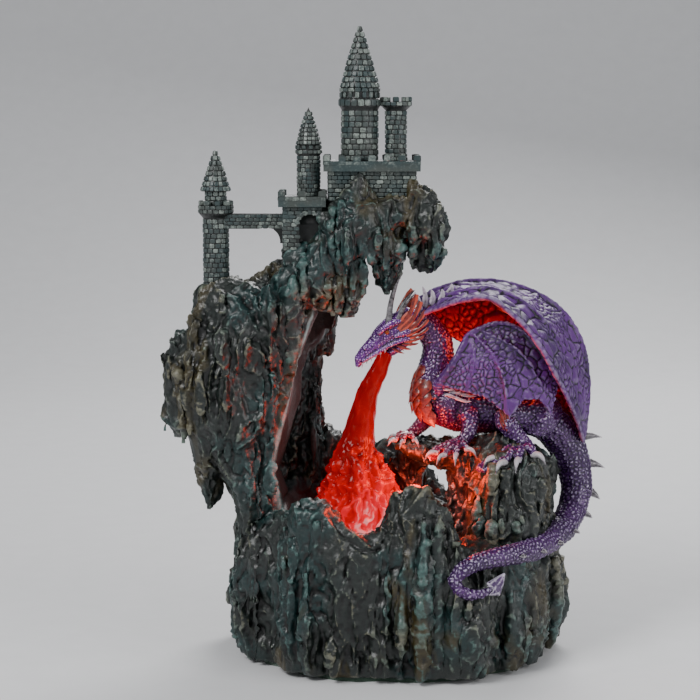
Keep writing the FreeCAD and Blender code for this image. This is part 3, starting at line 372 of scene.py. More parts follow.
def warped(tree, place, scale, reach):
    """The place, pushed about by slow noise, so that a pattern bends."""
    push = node(tree, "ShaderNodeVectorMath", {0: noise(tree, place, scale)["Color"], 1: (0.5, 0.5, 0.5)},
                operation="SUBTRACT").outputs[0]
    push = node(tree, "ShaderNodeVectorMath", {0: push, "Scale": reach}, operation="SCALE").outputs[0]
    return node(tree, "ShaderNodeVectorMath", {0: place, 1: push}, operation="ADD").outputs[0]


def draped_rock(depth):
    """Rock that looks as if it had run down and set: tall swells, narrow clefts and sharp crinkles."""
    def shape(tree, place):
        bent = warped(tree, place, 34.0, 0.016)
        tall = stretched(tree, bent, 1.0, 1.0, 0.42)
        swell = ranged(tree, noise(tree, tall, 40.0, 1.0)["Fac"], 0.3, 0.7, -1.0, 1.0)
        fold = noise(tree, tall, 84.0, 1.0, 0.4)["Fac"]
        crest = ridge(tree, fold, 0.54, 0.05, 0.75, 0.0, "SMOOTHSTEP")
        cleft = ridge(tree, fold, 0.42, 0.05, -0.8, 0.0, "SMOOTHSTEP")
        rough = noise(tree, stretched(tree, bent, 1.0, 1.0, 0.6), 170.0, 2.0, 0.5)["Fac"]
        crinkle = ridge(tree, rough, 0.5, 0.1, 0.46, -0.14)
        total = plus(tree, plus(tree, swell, crinkle), plus(tree, crest, cleft))
        return times(tree, total, depth * MM)
    return shape


def scaled_skin(size, depth):
    """Raised scales like pebbles, size and depth in millimetres."""
    def shape(tree, place):
        bent = warped(tree, place, 60.0, 0.0025)
        edge = edges_of_cells(tree, bent, 1.0 / (size * MM), 0.85)
        dome = power(tree, ranged(tree, edge, 0.02, 0.42), 0.55)
        return times(tree, less(tree, dome, 0.6), depth * MM)
    return shape


def webbed_skin(size, depth):
    """Round cells of two sizes with narrow gaps, as on the wings."""
    def cells(tree, place, scale):
        return power(tree, ranged(tree, edges_of_cells(tree, place, scale), 0.04, 0.34), 0.5)

    def shape(tree, place):
        bent = warped(tree, place, 45.0, 0.007)
        large, small = cells(tree, bent, 1.0 / (size * MM)), cells(tree, bent, 2.1 / (size * MM))
        share = ranged(tree, noise(tree, place, 42.0, 1.0)["Fac"], 0.46, 0.54)
        both = plus(tree, times(tree, large, less(tree, 1.0, share)),
                    times(tree, times(tree, small, share), 0.7))
        return times(tree, less(tree, both, 0.6), depth * MM)
    return shape


def licking_fire(tree, place):
    """Sharp upright tongues low in the fire, and a smooth stream above."""
    bent = warped(tree, place, 55.0, 0.012)
    fold = noise(tree, stretched(tree, bent, 1.0, 1.0, 0.45), 120.0, 2.0, 0.5)["Fac"]
    tongue = ridge(tree, fold, 0.5, 0.12, 1.0, -0.8)
    knob = ranged(tree, edges_of_cells(tree, stretched(tree, bent, 1.0, 1.0, 0.5), 170.0), 0.0, 0.4, -0.7, 0.9)
    height = node(tree, "ShaderNodeSeparateXYZ", {0: place}).outputs["Z"]
    low = ranged(tree, height, 0.094, 0.108, 1.0, 0.1)
    total = times(tree, plus(tree, tongue, knob), low)
    return times(tree, total, 2.1 * MM)


# ---------------------------------------------------------------- paint
def group(name, inputs, outputs):
    """An empty shader node group with named sockets."""
    tree = bpy.data.node_groups.new(name, "ShaderNodeTree")
    for title, kind, value in inputs:
        socket = tree.interface.new_socket(title, in_out="INPUT", socket_type=kind)
        if value is not None:
            socket.default_value = value
    for title, kind in outputs:
        tree.interface.new_socket(title, in_out="OUTPUT", socket_type=kind)
    return tree, tree.nodes.new("NodeGroupInput").outputs, tree.nodes.new("NodeGroupOutput").inputs


def make_dry_brush():
    """Undercoat in the crevices, body colour on the slopes, and a pale drag of paint over what stands out."""
    tree, given, out = group("dry_brush", [
        ("Place", "NodeSocketVector", None), ("Relief", "NodeSocketFloat", 0.0),
        ("Undercoat", "NodeSocketColor", tone(0, 0, 0)), ("Body", "NodeSocketColor", tone(0.1, 0.1, 0.1)),
        ("Highlight", "NodeSocketColor", tone(0.5, 0.5, 0.5)), ("Grain", "NodeSocketFloat", 500.0),
        ("Low", "NodeSocketFloat", 0.25), ("High", "NodeSocketFloat", 0.8),
        ("Strength", "NodeSocketFloat", 1.0)],
        [("Color", "NodeSocketColor"), ("Drag", "NodeSocketFloat"), ("Grit", "NodeSocketFloat")])
    grit = noise(tree, given["Place"], given["Grain"], 4.0)["Fac"]
    ragged = plus(tree, given["Relief"], ranged(tree, grit, 0.3, 0.7, -0.25, 0.25))
    body = ranged(tree, ragged, -0.75, 0.05, kind="SMOOTHSTEP")
    drag = ranged(tree, ragged, given["Low"], given["High"], kind="SMOOTHSTEP")
    drag = times(tree, drag, given["Strength"])
    colour = mixed(tree, body, given["Undercoat"], given["Body"])
    tree.links.new(mixed(tree, drag, colour, given["Highlight"]), out["Color"])
    tree.links.new(drag, out["Drag"])
    tree.links.new(grit, out["Grit"])
    return tree


def make_handling():
    """Dust and rubbed patches: a slow mask and a fine one, for gloss that isn't even."""
    tree, given, out = group("handling", [("Place", "NodeSocketVector", None),
                                          ("Scale", "NodeSocketFloat", 60.0)],
                             [("Patch", "NodeSocketFloat"), ("Fine", "NodeSocketFloat")])
    slow = noise(tree, given["Place"], given["Scale"], 3.0)["Fac"]
    tree.links.new(ranged(tree, slow, 0.35, 0.65), out["Patch"])
    tree.links.new(noise(tree, given["Place"], 1600.0)["Fac"], out["Fine"])
    return tree


def make_painted_fire_light():
    """How near the fire's heart a place is, from 0 to 1: how much painted red fire light it gets."""
    tree, given, out = group("painted_fire_light", [("Place", "NodeSocketVector", None),
                                             ("Reach", "NodeSocketFloat", 0.07)],
                             [("Painted Light", "NodeSocketFloat")])
    away = distance(tree, given["Place"], FIRE_HEART)
    tree.links.new(ranged(tree, away, 0.02, given["Reach"], 1.0, 0.0, "SMOOTHSTEP"), out["Painted Light"])
    return tree


DRY_BRUSH = make_dry_brush()
HANDLING = make_handling()
FIRE_LIGHT_PAINT = make_painted_fire_light()


class Finish:
    """A material being mixed: its tree, its shader and the object's own coordinates."""

    def __init__(self, name):
        self.material = bpy.data.materials.new(name)
        self.material.use_nodes = True
        self.tree = self.material.node_tree
        self.shader = next(n for n in self.tree.nodes if n.type == "BSDF_PRINCIPLED")
        self.place = node(self.tree, "ShaderNodeTexCoord").outputs["Object"]

    def add(self, kind, inputs=None, **settings):
        return node(self.tree, kind, inputs, **settings)

    def use(self, tree, **inputs):
        made = self.add("ShaderNodeGroup", node_tree=tree)
        for key, value in inputs.items():
            socket = made.inputs[key]
            if isinstance(value, bpy.types.NodeSocket):
                self.tree.links.new(value, socket)
            else:
                socket.default_value = value
        return made.outputs

    def wear(self, name="relief"):
        return self.add("ShaderNodeAttribute", attribute_name=name).outputs["Fac"]

    def set(self, **sockets):
        """Sets or links the shader's sockets: Base_Color means Base Color."""
        for key, value in sockets.items():
            socket = self.shader.inputs[key.replace("_", " ")]
            if isinstance(value, bpy.types.NodeSocket):
                self.tree.links.new(value, socket)
            else:
                socket.default_value = value

    def patches(self, scale, low, high, first, second):
        """Two colours that take turns in slow patches."""
        slow = noise(self.tree, self.place, scale)["Fac"]
        return mixed(self.tree, ranged(self.tree, slow, low, high), first, second)

    def dry_brush(self, undercoat, body, highlight, grain, low, high, strength=0.9):
        """The three colours, sorted by what the piece's relief is."""
        return self.use(DRY_BRUSH, Place=self.place, Relief=self.wear(), Undercoat=undercoat, Body=body,
                        Highlight=highlight, Grain=grain, Low=low, High=high, Strength=strength)

    def gloss(self, scale, smooth, rough, **sockets):
        """Roughness between smooth and rough in patches, with any other sockets. Gives back the patches."""
        touch = self.use(HANDLING, Place=self.place, Scale=scale)
        self.set(Roughness=ranged(self.tree, touch["Patch"], 0.0, 1.0, smooth, rough), **sockets)
        return touch

    def bump(self, height, strength, distance):
        made = self.add("ShaderNodeBump", {"Strength": strength, "Distance": distance * MM, "Height": height})
        self.set(Normal=made.outputs["Normal"])


def paint_rock():
    """Green-black rock with teal and old gold in patches, pale edges that are partly painted glints, and a
    smooth channel reddened by painted fire light, with a pale rim.
    """
    f = Finish("rock_paint")
    slow = noise(f.tree, f.place, 30.0)["Fac"]
    other = noise(f.tree, stretched(f.tree, f.place, 1.0, 1.0, 0.5), 44.0, warp=0.6)["Fac"]
    body = mixed(f.tree, ranged(f.tree, slow, 0.5, 0.62), tone(0.006, 0.0105, 0.0085),
                 tone(0.003, 0.021, 0.021))
    body = mixed(f.tree, ranged(f.tree, other, 0.56, 0.66), body, tone(0.034, 0.026, 0.007))
    pale = mixed(f.tree, ranged(f.tree, slow, 0.42, 0.58), tone(0.22, 0.21, 0.145), tone(0.085, 0.17, 0.155))
    # painted fire light: the channel is reddish grey
    body = mixed(f.tree, f.wear("channel"), body, tone(0.055, 0.022, 0.02))
    # the pale drag on the ridges is partly dry-brush, partly painted glints
    coat = f.dry_brush(tone(0.0012, 0.002, 0.0018), body, pale, 520.0, 0.6, 1.25, 0.7)
    colour = mixed(f.tree, f.wear("rim"), coat["Color"], tone(0.2, 0.38, 0.37))
    touch = f.gloss(70.0, 0.34, 0.56, Base_Color=colour, Coat_Weight=0.22, Coat_Roughness=0.22)
    f.bump(plus(f.tree, coat["Grit"], times(f.tree, touch["Fine"], 0.35)), 0.55, 0.8)
    return f.material


def paint_brick():
    """Dark mortar with grey-green bricks, each dragged with pale paint."""
    f = Finish("brick_paint")
    body = f.patches(90.0, 0.4, 0.6, tone(0.045, 0.055, 0.05), tone(0.026, 0.046, 0.047))
    coat = f.dry_brush(tone(0.004, 0.006, 0.0055), body, tone(0.26, 0.3, 0.27), 900.0, 0.35, 1.1)
    f.gloss(120.0, 0.38, 0.58, Base_Color=coat["Color"], Coat_Weight=0.15, Coat_Roughness=0.3)
    f.bump(coat["Grit"], 0.5, 0.25)
    return f.material


def paint_dragon(name, body, highlight, low=0.45, high=1.15):
    """Purple skin, darker between the scales, silvery on top, and red with painted fire light towards the fire.
    """
    f = Finish(name)
    skin = f.patches(60.0, 0.4, 0.62, body, tone(0.035, 0.005, 0.07))
    # painted fire light: the skin and its highlights turn red and orange near the fire's heart
    fire_lit = f.use(FIRE_LIGHT_PAINT, Place=f.place, Reach=0.068)["Painted Light"]
    skin = mixed(f.tree, fire_lit, skin, tone(0.24, 0.006, 0.012))
    pale = mixed(f.tree, times(f.tree, fire_lit, 0.8), highlight, tone(0.7, 0.17, 0.15))
    coat = f.dry_brush(tone(0.003, 0.001, 0.006), skin, pale, 700.0, low, high)
    f.gloss(90.0, 0.24, 0.4, Base_Color=coat["Color"], Metallic=0.2, Coat_Weight=0.3, Coat_Roughness=0.15)
    f.bump(coat["Grit"], 0.4, 0.2)
    return f.material


def paint_wing():
    """Purple cells with pale tops on the outside; inside, red where the fire lights the skin."""
    f = Finish("wing_paint")
    inside = f.wear("inside")
    outer = f.patches(50.0, 0.42, 0.6, tone(0.1, 0.02, 0.18), tone(0.05, 0.012, 0.1))
    # painted fire light: the inside's undercoat, body and highlight are red, brightest near the fire's heart
    red = mixed(f.tree, f.use(FIRE_LIGHT_PAINT, Place=f.place, Reach=0.125)["Painted Light"], tone(0.2, 0.004, 0.04),
                tone(0.8, 0.004, 0.02))
    skin = mixed(f.tree, inside, outer, red)
    pale = mixed(f.tree, inside, tone(0.27, 0.21, 0.35), tone(0.95, 0.03, 0.06))
    deep = mixed(f.tree, inside, tone(0.004, 0.001, 0.008), tone(0.04, 0.0, 0.005))
    coat = f.dry_brush(deep, skin, pale, 600.0, 0.35, 1.25, 0.72)
    f.gloss(90.0, 0.42, 0.6, Base_Color=coat["Color"], Coat_Weight=0.08, Coat_Roughness=0.3)
    f.bump(coat["Grit"], 0.4, 0.2)
    return f.material


def paint_horn(name, root, tip, low=0.25, high=1.05):
    """Bone or plate: dark in its grooves, pale where it stands out."""
    f = Finish(name)
    rings = noise(f.tree, stretched(f.tree, f.place, 1.0, 1.0, 2.2), 420.0, 3.0)["Fac"]
    body = mixed(f.tree, ranged(f.tree, rings, 0.35, 0.6), root, mixed(f.tree, 0.3, root, tip))
    coat = f.dry_brush(mixed(f.tree, 0.7, root, tone(0, 0, 0)), body, tip, 600.0, low, high)
    f.gloss(200.0, 0.26, 0.45, Base_Color=coat["Color"], Coat_Weight=0.3)
    f.bump(rings, 0.5, 0.2)
    return f.material


def pour_fire():
    """Clear red resin, lit from below: near white in the heart, deep red in the stream."""
    f = Finish("fire_resin")
    away = distance(f.tree, f.place, FIRE_CORE)
    flicker = noise(f.tree, stretched(f.tree, f.place, 1.0, 1.0, 0.4), 150.0, 3.0, warp=0.8)["Fac"]
    glow = plus(f.tree, ranged(f.tree, away, 0.003, 0.042, 0.95, 0.2),
                ranged(f.tree, flicker, 0.35, 0.65, -0.14, 0.14))
    glow = plus(f.tree, glow, times(f.tree, f.wear(), 0.15))
    colour = f.add("ShaderNodeValToRGB", {"Fac": glow})
    stops = colour.color_ramp.elements
    for stop, at, hue in ((stops[0], 0.0, tone(0.06, 0.0, 0.0)), (stops[1], 1.0, tone(1.0, 0.3, 0.3))):
        stop.position, stop.color = at, hue
    for at, hue in ((0.3, tone(0.22, 0.0, 0.0)), (0.6, tone(0.55, 0.0, 0.004)),
                    (0.84, tone(0.95, 0.015, 0.035))):
        stops.new(at).color = hue
    f.gloss(140.0, 0.14, 0.28, Base_Color=tone(0.09, 0.0, 0.0), Specular_IOR_Level=0.2,
            Emission_Color=colour.outputs["Color"], Emission_Strength=1.0)
    f.bump(flicker, 0.3, 0.5)
    return f.material


def plain(name, colour, rough=(0.35, 0.55), metallic=0.0):
    """A moulded or plated stock material with fine texture and slight variation."""
    f = Finish(name)
    touch = f.gloss(80.0, *rough, Metallic=metallic)
    f.set(Base_Color=mixed(f.tree, touch["Patch"], tone(*colour), tone(*(c * 0.85 for c in colour))))
    f.bump(noise(f.tree, f.place, 900.0, 4.0)["Fac"], 0.35, 0.15)
    return f.material


def cut_felt():
    f = Finish("green_felt")
    hair = noise(f.tree, f.place, 2200.0, 5.0, 0.7, 1.5)["Fac"]
    colour = mixed(f.tree, ranged(f.tree, hair, 0.35, 0.65), tone(0.01, 0.03, 0.018), tone(0.04, 0.09, 0.055))
    f.set(Base_Color=colour, Roughness=0.95, Sheen_Weight=0.6)
    f.bump(hair, 0.9, 0.4)
    return f.material


# ---------------------------------------------------------------- camera, floor and lights
def set_up_camera():
    camera = bpy.data.objects.new("camera", bpy.data.cameras.new("camera"))
    bpy.context.scene.collection.objects.link(camera)
    camera.location = (-0.0225, -0.9231, 0.2703)
    camera.rotation_euler = (math.radians(90 - CAMERA_DIPS), 0.0, 0.0)
    camera.data.sensor_width = 36.0
    camera.data.lens = 97.7
    camera.data.clip_start, camera.data.clip_end = 0.01, 50.0
    bpy.context.scene.camera = camera


def roll_out_paper():
    """The floor: it lies flat, then curves up behind."""
    put_down()
    bpy.ops.mesh.primitive_grid_add(x_subdivisions=2, y_subdivisions=120, size=9.0)
    floor = bpy.context.object
    floor.name = "floor"
    places = places_of(floor)
    past = np.maximum(places[:, 1] - PAPER_BEND, 0)
    turn = np.minimum(past / PAPER_BEND, math.pi / 2)
    up = np.maximum(past - PAPER_BEND * math.pi / 2, 0)
    places[:, 1] = np.minimum(places[:, 1], PAPER_BEND) + PAPER_BEND * np.sin(turn)
    places[:, 2] = PAPER_BEND * (1 - np.cos(turn)) + up
    set_places(floor, places)
    shade(floor, 60)
    f = Finish("floor_paper")
    grit = noise(f.tree, f.place, 60.0, 4.0)["Fac"]
    f.set(Base_Color=mixed(f.tree, grit, tone(0.66, 0.66, 0.67), tone(0.72, 0.72, 0.73)), Roughness=0.7)
    floor.data.materials.append(f.material)


def hang_lamp(name, kind, place, watts):
    lamp = bpy.data.objects.new(name, bpy.data.lights.new(name, kind))
    lamp.data.energy = watts
    lamp.location = place
    bpy.context.scene.collection.objects.link(lamp)
    return lamp


def hang_lamps():
    """A soft white room, three broad lamps, and two small red ones for the fire's light."""
    world = bpy.data.worlds.new("studio")
    world.use_nodes = True
    world.node_tree.nodes["Background"].inputs["Color"].default_value = tone(0.78, 0.8, 0.83)
    world.node_tree.nodes["Background"].inputs["Strength"].default_value = 0.45
    bpy.context.scene.world = world
    for name, place, size, watts in (("key", (-0.75, -0.8, 1.05), 0.55, 15.0),
                                     ("fill", (0.9, -0.6, 0.5), 0.7, 6.0),
                                     ("rim", (0.3, 0.9, 0.9), 0.6, 11.0)):
        lamp = hang_lamp(name, "AREA", place, watts)
        lamp.data.size = size
        lamp.rotation_euler = (Vector((0, 0, 0.14)) - Vector(place)).to_track_quat("-Z", "Y").to_euler()
    for name, place, watts in (("fire_glow", (0.008, -0.03, 0.094), 0.2),
                               ("hood_glow", (0.05, -0.012, 0.158), 0.05)):
        glow = hang_lamp(name, "POINT", place, watts)
        glow.data.color = (1.0, 0.06, 0.02)
        glow.data.shadow_soft_size = 0.01


# ---------------------------------------------------------------- rock
def drapes(piece, seed, count, length, radius, allowed, rising=False, bare=None):
    """Folds over a rock's steep faces. Each starts wide and runs out to a point below, or above if rising.

    bare(place) is true where a fold that was drawn is left out."""
    chance = random.Random(seed)
    places, ways = places_of(piece), ways_of(piece)
    steep = np.flatnonzero(allowed(places) & (np.abs(ways[:, 2]) < 0.45))
    lean = -1 if rising else 1
    folds = []
    for _ in range(count):
        k = steep[chance.randrange(len(steep))]
        place, way = Vector(places[k]), Vector(ways[k])
        way.z = 0
        long, wide = length * chance.uniform(0.6, 1.35), radius * chance.uniform(0.6, 1.25)
        start = place - way * wide * 0.35 + Vector((0, 0, lean * long * 0.4))
        middle = place - way * wide * 0.1 + Vector((chance.uniform(-1, 1), 0, 0))
        end = place + way * wide * 0.35 - Vector((chance.uniform(-1.5, 1.5), 0, lean * long * 0.6))
        near = places[(np.abs(places[:, 0] - end.x) < 7) & (np.abs(places[:, 1] - end.y) < 7), 2]
        if len(near):
            end.z = min(max(end.z, near.min() + 1), near.max() - 1)
        if rising:
            start.z = 3
            middle.z = (place.z + 3) / 2
        if chance.random() < 0.55:
            fold = plate(start, end, Vector((0, 0, 1)).cross(way), wide * 2.7, wide * 0.8,
                         chance.uniform(-1, 1))
        else:
            fold = stroke([start, middle, end], [wide * 0.8, wide * 0.7, 0.4], 1, 4)
        if bare and bare(place):
            bpy.data.objects.remove(fold)
        else:
            folds.append(fold)
    return folds


def finish_rock(name, node_name, grain, depth, folds=(), still=None):
    """Turns a casting into draped rock. still(places) says what share of the sculpting each point gets."""
    piece = clay(casting(name, node_name), 2.2, 1)
    rows = [fold for settings in folds for fold in drapes(piece, *settings)]
    bpy.data.objects.remove(piece)
    piece = clay(one_piece(name, [casting(name, node_name)] + rows), grain, 3)
    places = places_of(piece)
    out = from_lines(places, [CHANNEL])
    share = np.clip((out - 1.5) / 4, 0, 1)
    if still:
        share = share * still(places)
    mark(piece, "give", share)
    sculpt(piece, name + "_folds", draped_rock(depth))
    low, _ = box_of(node_name)
    places = places_of(piece)
    places[:, 2] = np.maximum(places[:, 2], low.z)
    set_places(piece, places)
    mark_relief(piece, 4, 0.0)
    in_run = (places[:, 2] < CHANNEL_TOP) & (places[:, 2] > CHANNEL_FOOT)
    mark(piece, "channel", np.clip((3.2 - out) / 1.6, 0, 1) * in_run)
    front = np.clip((6 - places[:, 1]) / 10, 0, 1)
    broad = 1.7 + 1.8 * np.clip((128 - places[:, 2]) / 30, 0, 1)      # the rim widens towards its foot
    mark(piece, "rim", np.clip(1 - np.abs(out - 2.2 - 0.8 * broad) / broad, 0, 1) * in_run * front)
    shade(piece, 75)
    return piece


def clear_of_run(places):
    return from_lines(places, [CHANNEL]) > FOLD_FREE


def hanging_point(place):
    """The point that hangs at the crag's left, which is too thin to carry folds."""
    return place.x < -66 and place.z < 118


def under_castle(places):
    """The top of the crag, below the keep's foot and below the gatehouse at the left."""
    return clear_of_run(places) & (places[:, 2] < np.where(places[:, 0] < -32, 184, 214))


def drum_side(places):
    """The drum's outside, above its foot and below the rim's points."""
    reach = np.hypot(places[:, 0] / DRUM_REACH[0], places[:, 1] / DRUM_REACH[1])
    return (reach > 0.88) & (places[:, 2] > 8) & (places[:, 2] < 70)


def drum_stillness(places):
    """The hollow in the drum, its foot and the light well keep their shape."""
    radius, height = DRUM_HOLLOW
    inside = (np.hypot(places[:, 0], places[:, 1]) < radius) & (places[:, 2] < height)
    x, y, radius, height = LIGHT_WELL
    well = (np.hypot(places[:, 0] - x, places[:, 1] - y) < radius) & (places[:, 2] < height)
    return np.where(inside | well, 0.0, 1.0) * np.clip((places[:, 2] - 2) / 8, 0.1, 1)


def build_rocks():
    """Each rock has its grain, its depth of sculpting, and rows of folds.

    A row's values are those of drapes: seed, count, length, radius, where they may start, rising and bare."""
    rock = paint_rock()
    base = finish_rock("drum", "base_rock", 1.16, 1.9, [
        (3, 70, 34, 6.5, drum_side, True), (4, 60, 20, 3.6, drum_side, True)], drum_stillness)
    done(base, rock, "rock", "base_rock")
    crag = finish_rock("crag", "crag_rock", 0.85, 1.9, [
        (5, 60, 30, 5.0, clear_of_run, False, hanging_point),
        (6, 70, 16, 3.0, clear_of_run, False, hanging_point)])
    done(crag, rock, "rock", "crag_rock")
    arm = finish_rock("crag_top", "crag_arm", 0.75, 1.7, [
        (7, 56, 22, 4.0, under_castle), (8, 60, 12, 2.4, under_castle)])
    done(arm, rock, "rock", "crag_arm")
    perch = finish_rock("perch", "perch_rock", 0.75, 1.7, [
        (9, 40, 20, 4.0, lambda p: p[:, 2] < 92), (10, 40, 11, 2.4, lambda p: p[:, 2] < 96)])
    done(perch, rock, "rock", "perch_rock")


# ---------------------------------------------------------------- castle
def model_brick():
    """One rounded brick of unit size that copies are cut from."""
    put_down()
    bpy.ops.mesh.primitive_cube_add(size=1.0)
    brick = bpy.context.object
    in_edit(brick)
    bpy.ops.mesh.bevel(offset=0.16, segments=1)
    out_of_edit()
    return brick


BRICK = model_brick()


def lay(mesh_list, centre, out, size, chance, lean=0.0):
    """Adds a copy of the brick at centre, facing out, of size (length, depth, height) in millimetres."""
    out = Vector(out).normalized()
    along = Vector((0, 0, 1)).cross(out).normalized()
    along = Matrix.Rotation(lean, 3, out) @ along
    up = out.cross(along)
    jitter = [1 + chance.uniform(-0.1, 0.06) for _ in range(3)]
    turn = Matrix((along * size[0] * jitter[0], out * size[1], up * size[2] * jitter[2])).transposed().to_4x4()
    nudge = out * chance.uniform(-0.12, 0.12)
    mesh = BRICK.data.copy()
    mesh.transform(Matrix.Translation((Vector(centre) + nudge) * MM) @ turn @ Matrix.Scale(MM, 4))
    mesh_list.append(mesh)


JOINT = 0.84      # share of a course's height that its bricks fill; the rest is mortar


def lay_ring(mesh_list, x, y, z, radius, height, length, chance, slope=0.0, proud=0.35, share=0.88):
    """One course round a tower. slope tilts its bricks to follow a spire."""
    count = max(5, round(2 * math.pi * radius / length))
    start = chance.uniform(0, math.pi)
    for k in range(count):
        turn = start + 2 * math.pi * k / count
        out = Vector((math.cos(turn), math.sin(turn), slope))
        centre = (x + radius * math.cos(turn), y + radius * math.sin(turn), z + height / 2)
        lay(mesh_list, centre, out, (2 * math.pi * radius / count * share, 2 * proud, height * JOINT), chance)


def lay_teeth(mesh_list, x, y, z, radius, count, chance):
    """A stone on each tooth of a round crown."""
    for k in range(count):
        turn = 2 * math.pi * k / count
        out = Vector((math.cos(turn), math.sin(turn), 0))
        lay(mesh_list, Vector((x, y, z)) + out * radius, out, (2.8, 2.5, 2.4), chance)


SMALLEST_BRICK = 0.8      # a shorter rest at the end of a course stays mortar


def lay_wall(mesh_list, start, end, z0, z1, out, chance, height=2.0, length=3.4, proud=0.35, clear=None):
    """Courses on a flat wall from start to end, in running bond. clear(x, z) is true where no brick goes."""
    start, end = Vector(start), Vector(end)
    run = (end - start).length
    courses = max(1, round((z1 - z0) / height))
    for row in range(courses):
        tall = (z1 - z0) / courses
        at = -length / 2 if row % 2 else 0.0
        while at < run - 0.2:
            low, high = max(at, 0.0), min(at + length * chance.uniform(0.85, 1.15), run)
            middle = start + (end - start) * ((low + high) / 2 / run)
            if high - low > SMALLEST_BRICK and not (clear and clear(middle.x, z0 + (row + 0.5) * tall)):
                lay(mesh_list, (middle.x, middle.y, z0 + (row + 0.5) * tall), out,
                    ((high - low) * 0.9, 2 * proud, tall * JOINT), chance)
            at = high
            if high >= run:
                break


def brick_piece(name, meshes, *nodes, band=None):
    """Joins the bricks with the CAD casting behind them, which shows as mortar.

    Between the heights of band it shows as smooth stone."""
    core = casting(name, *nodes)
    points = len(core.data.vertices)
    pieces = [core]
    for mesh in meshes:
        one = bpy.data.objects.new("brick", mesh)
        bpy.context.scene.collection.objects.link(one)
        pieces.append(one)
    one_piece(name, pieces)
    relief = np.full(len(core.data.vertices), -0.9)
    if band:
        level = places_of(core)[:, 2]
        relief[(level > band[0] - 0.3) & (level < band[1] + 1.3)] = 0.35
    of_brick = np.random.default_rng(7).uniform(-0.1, 0.85, len(meshes))
    relief[points:] = np.repeat(of_brick, len(BRICK.data.vertices))
    mark(core, "relief", relief)
    return core


def box_of(node_name):
    low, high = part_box(node_name)
    return low / MM, high / MM


def tower_axis(node_name):
    low, high = box_of(node_name)
    return (low.x + high.x) / 2, (low.y + high.y) / 2, low.z, high.z


def build_tower(name, node_name, brick, spans, spire, seed, teeth=None, arcade=None):
    """Bricks on a tower. spans, up its shaft, are (z0, z1, low radius, high radius); spire is (z0, z1, radius).

    teeth are (z, radius, count) and arcade, the ring of slim stones under the spire, is (z, radius, height)."""
    chance = random.Random(seed)
    x, y, _, _ = tower_axis(node_name)
    length, height = brick
    meshes = []
    for z0, z1, low_radius, high_radius in spans:
        courses = max(1, round((z1 - z0) / height))
        tall = (z1 - z0) / courses
        for row in range(courses):
            radius = low_radius + (high_radius - low_radius) * (row + 0.5) / courses
            lay_ring(meshes, x, y, z0 + (z1 - z0) * row / courses, radius, tall, length, chance)
    if spire:
        z0, z1, foot = spire
        courses = round((z1 - z0) / height)
        tall = (z1 - z0) / courses
        for row in range(courses):
            radius = foot * (1 - (row + 0.3) / courses) ** 0.85
            if radius > 0.7:
                lay_ring(meshes, x, y, z0 + (z1 - z0) * row / courses, radius, tall, length * 0.8, chance,
                         slope=0.3, proud=0.45)
    if teeth:
        level, radius, count = teeth
        lay_teeth(meshes, x, y, level, radius, count, chance)
    if arcade:
        level, radius, tall = arcade
        lay_ring(meshes, x, y, level, radius, tall, 3.4, chance, proud=0.6, share=0.55)
    return brick_piece(name, meshes, node_name)


def lay_merlons(mesh_list, x0, x1, y0, y1, top, middle, chance):
    """A stone on each tooth along one edge of a platform."""
    long = max(x1 - x0, y1 - y0)
    count = round(long / 6.8)
    for k in range(count):
        step = 1.7 + k * (long - 3.4) / (count - 1)
        if x1 > x0:
            side = 1 if y0 > middle.y else -1
            centre, out = (x0 + step, y0 - side * 1.1, top + 1.35), (0, side, 0)
        else:
            side = 1 if x0 > middle.x else -1
            centre, out = (x0 - side * 1.1, y0 + step, top + 1.35), (side, 0, 0)
        lay(mesh_list, centre, out, (3.6, 2.6, 2.9), chance)


OVERHANG, MERLON, SLAB = 2.2, 2.6, 4.8  # of a block's platform: how far it stands out, its teeth, its thickness
GATEWAY = (-41.85, 198.8, 5.0, 210.8)   # middle, sill, half width, and where its arch springs


def in_gateway(x, z):
    """The arched opening in the gatehouse's front."""
    middle, sill, radius, spring = GATEWAY
    if z < spring:
        return abs(x - middle) < radius + 0.2 and z > sill
    return math.hypot(x - middle, z - spring) < radius + 0.2


def lay_arch(mesh_list, y, chance):
    """The stones round the gateway's head."""
    middle, _, radius, spring = GATEWAY
    for k in range(9):
        turn = math.pi * (k + 0.5) / 9
        lay(mesh_list, (middle + (radius + 1.0) * math.cos(turn), y - 0.2,
                        spring + (radius + 1.0) * math.sin(turn)),
            (0, -1, 0), (1.7, 1.1, 2.2), chance, math.pi / 2 - turn)


def around(x0, x1, y0, y1):
    """The four sides of a block as start, end and the way out."""
    return (((x0, y0, 0), (x1, y0, 0), (0, -1, 0)), ((x1, y0, 0), (x1, y1, 0), (1, 0, 0)),
            ((x1, y1, 0), (x0, y1, 0), (0, 1, 0)), ((x0, y1, 0), (x0, y0, 0), (-1, 0, 0)))


def build_block(name, node_name, seed):
    """A square block of bricks under a platform with teeth."""
    chance = random.Random(seed)
    low, high = box_of(node_name)
    top = high.z - MERLON
    meshes = []
    for start, end, out in around(low.x + OVERHANG, high.x - OVERHANG, low.y + OVERHANG, high.y - OVERHANG):
        lay_wall(meshes, start, end, low.z + 0.4, top - SLAB, out, chance,
                 clear=in_gateway if out[1] < 0 else None)
    for start, end, out in around(low.x, high.x, low.y, high.y):
        lay_wall(meshes, start, end, top - 1.9, top, out, chance, 1.9, 3.4, 0.2)
    for x0, x1, y0, y1 in ((low.x, high.x, low.y, low.y), (low.x, high.x, high.y, high.y),
                           (low.x, low.x, low.y, high.y), (high.x, high.x, low.y, high.y)):
        lay_merlons(meshes, x0, x1, y0, y1, top, (low + high) / 2, chance)
    if node_name == "gatehouse":
        lay_arch(meshes, low.y + OVERHANG, chance)
    return brick_piece(name, meshes, node_name, band=(top - SLAB, top - 1))


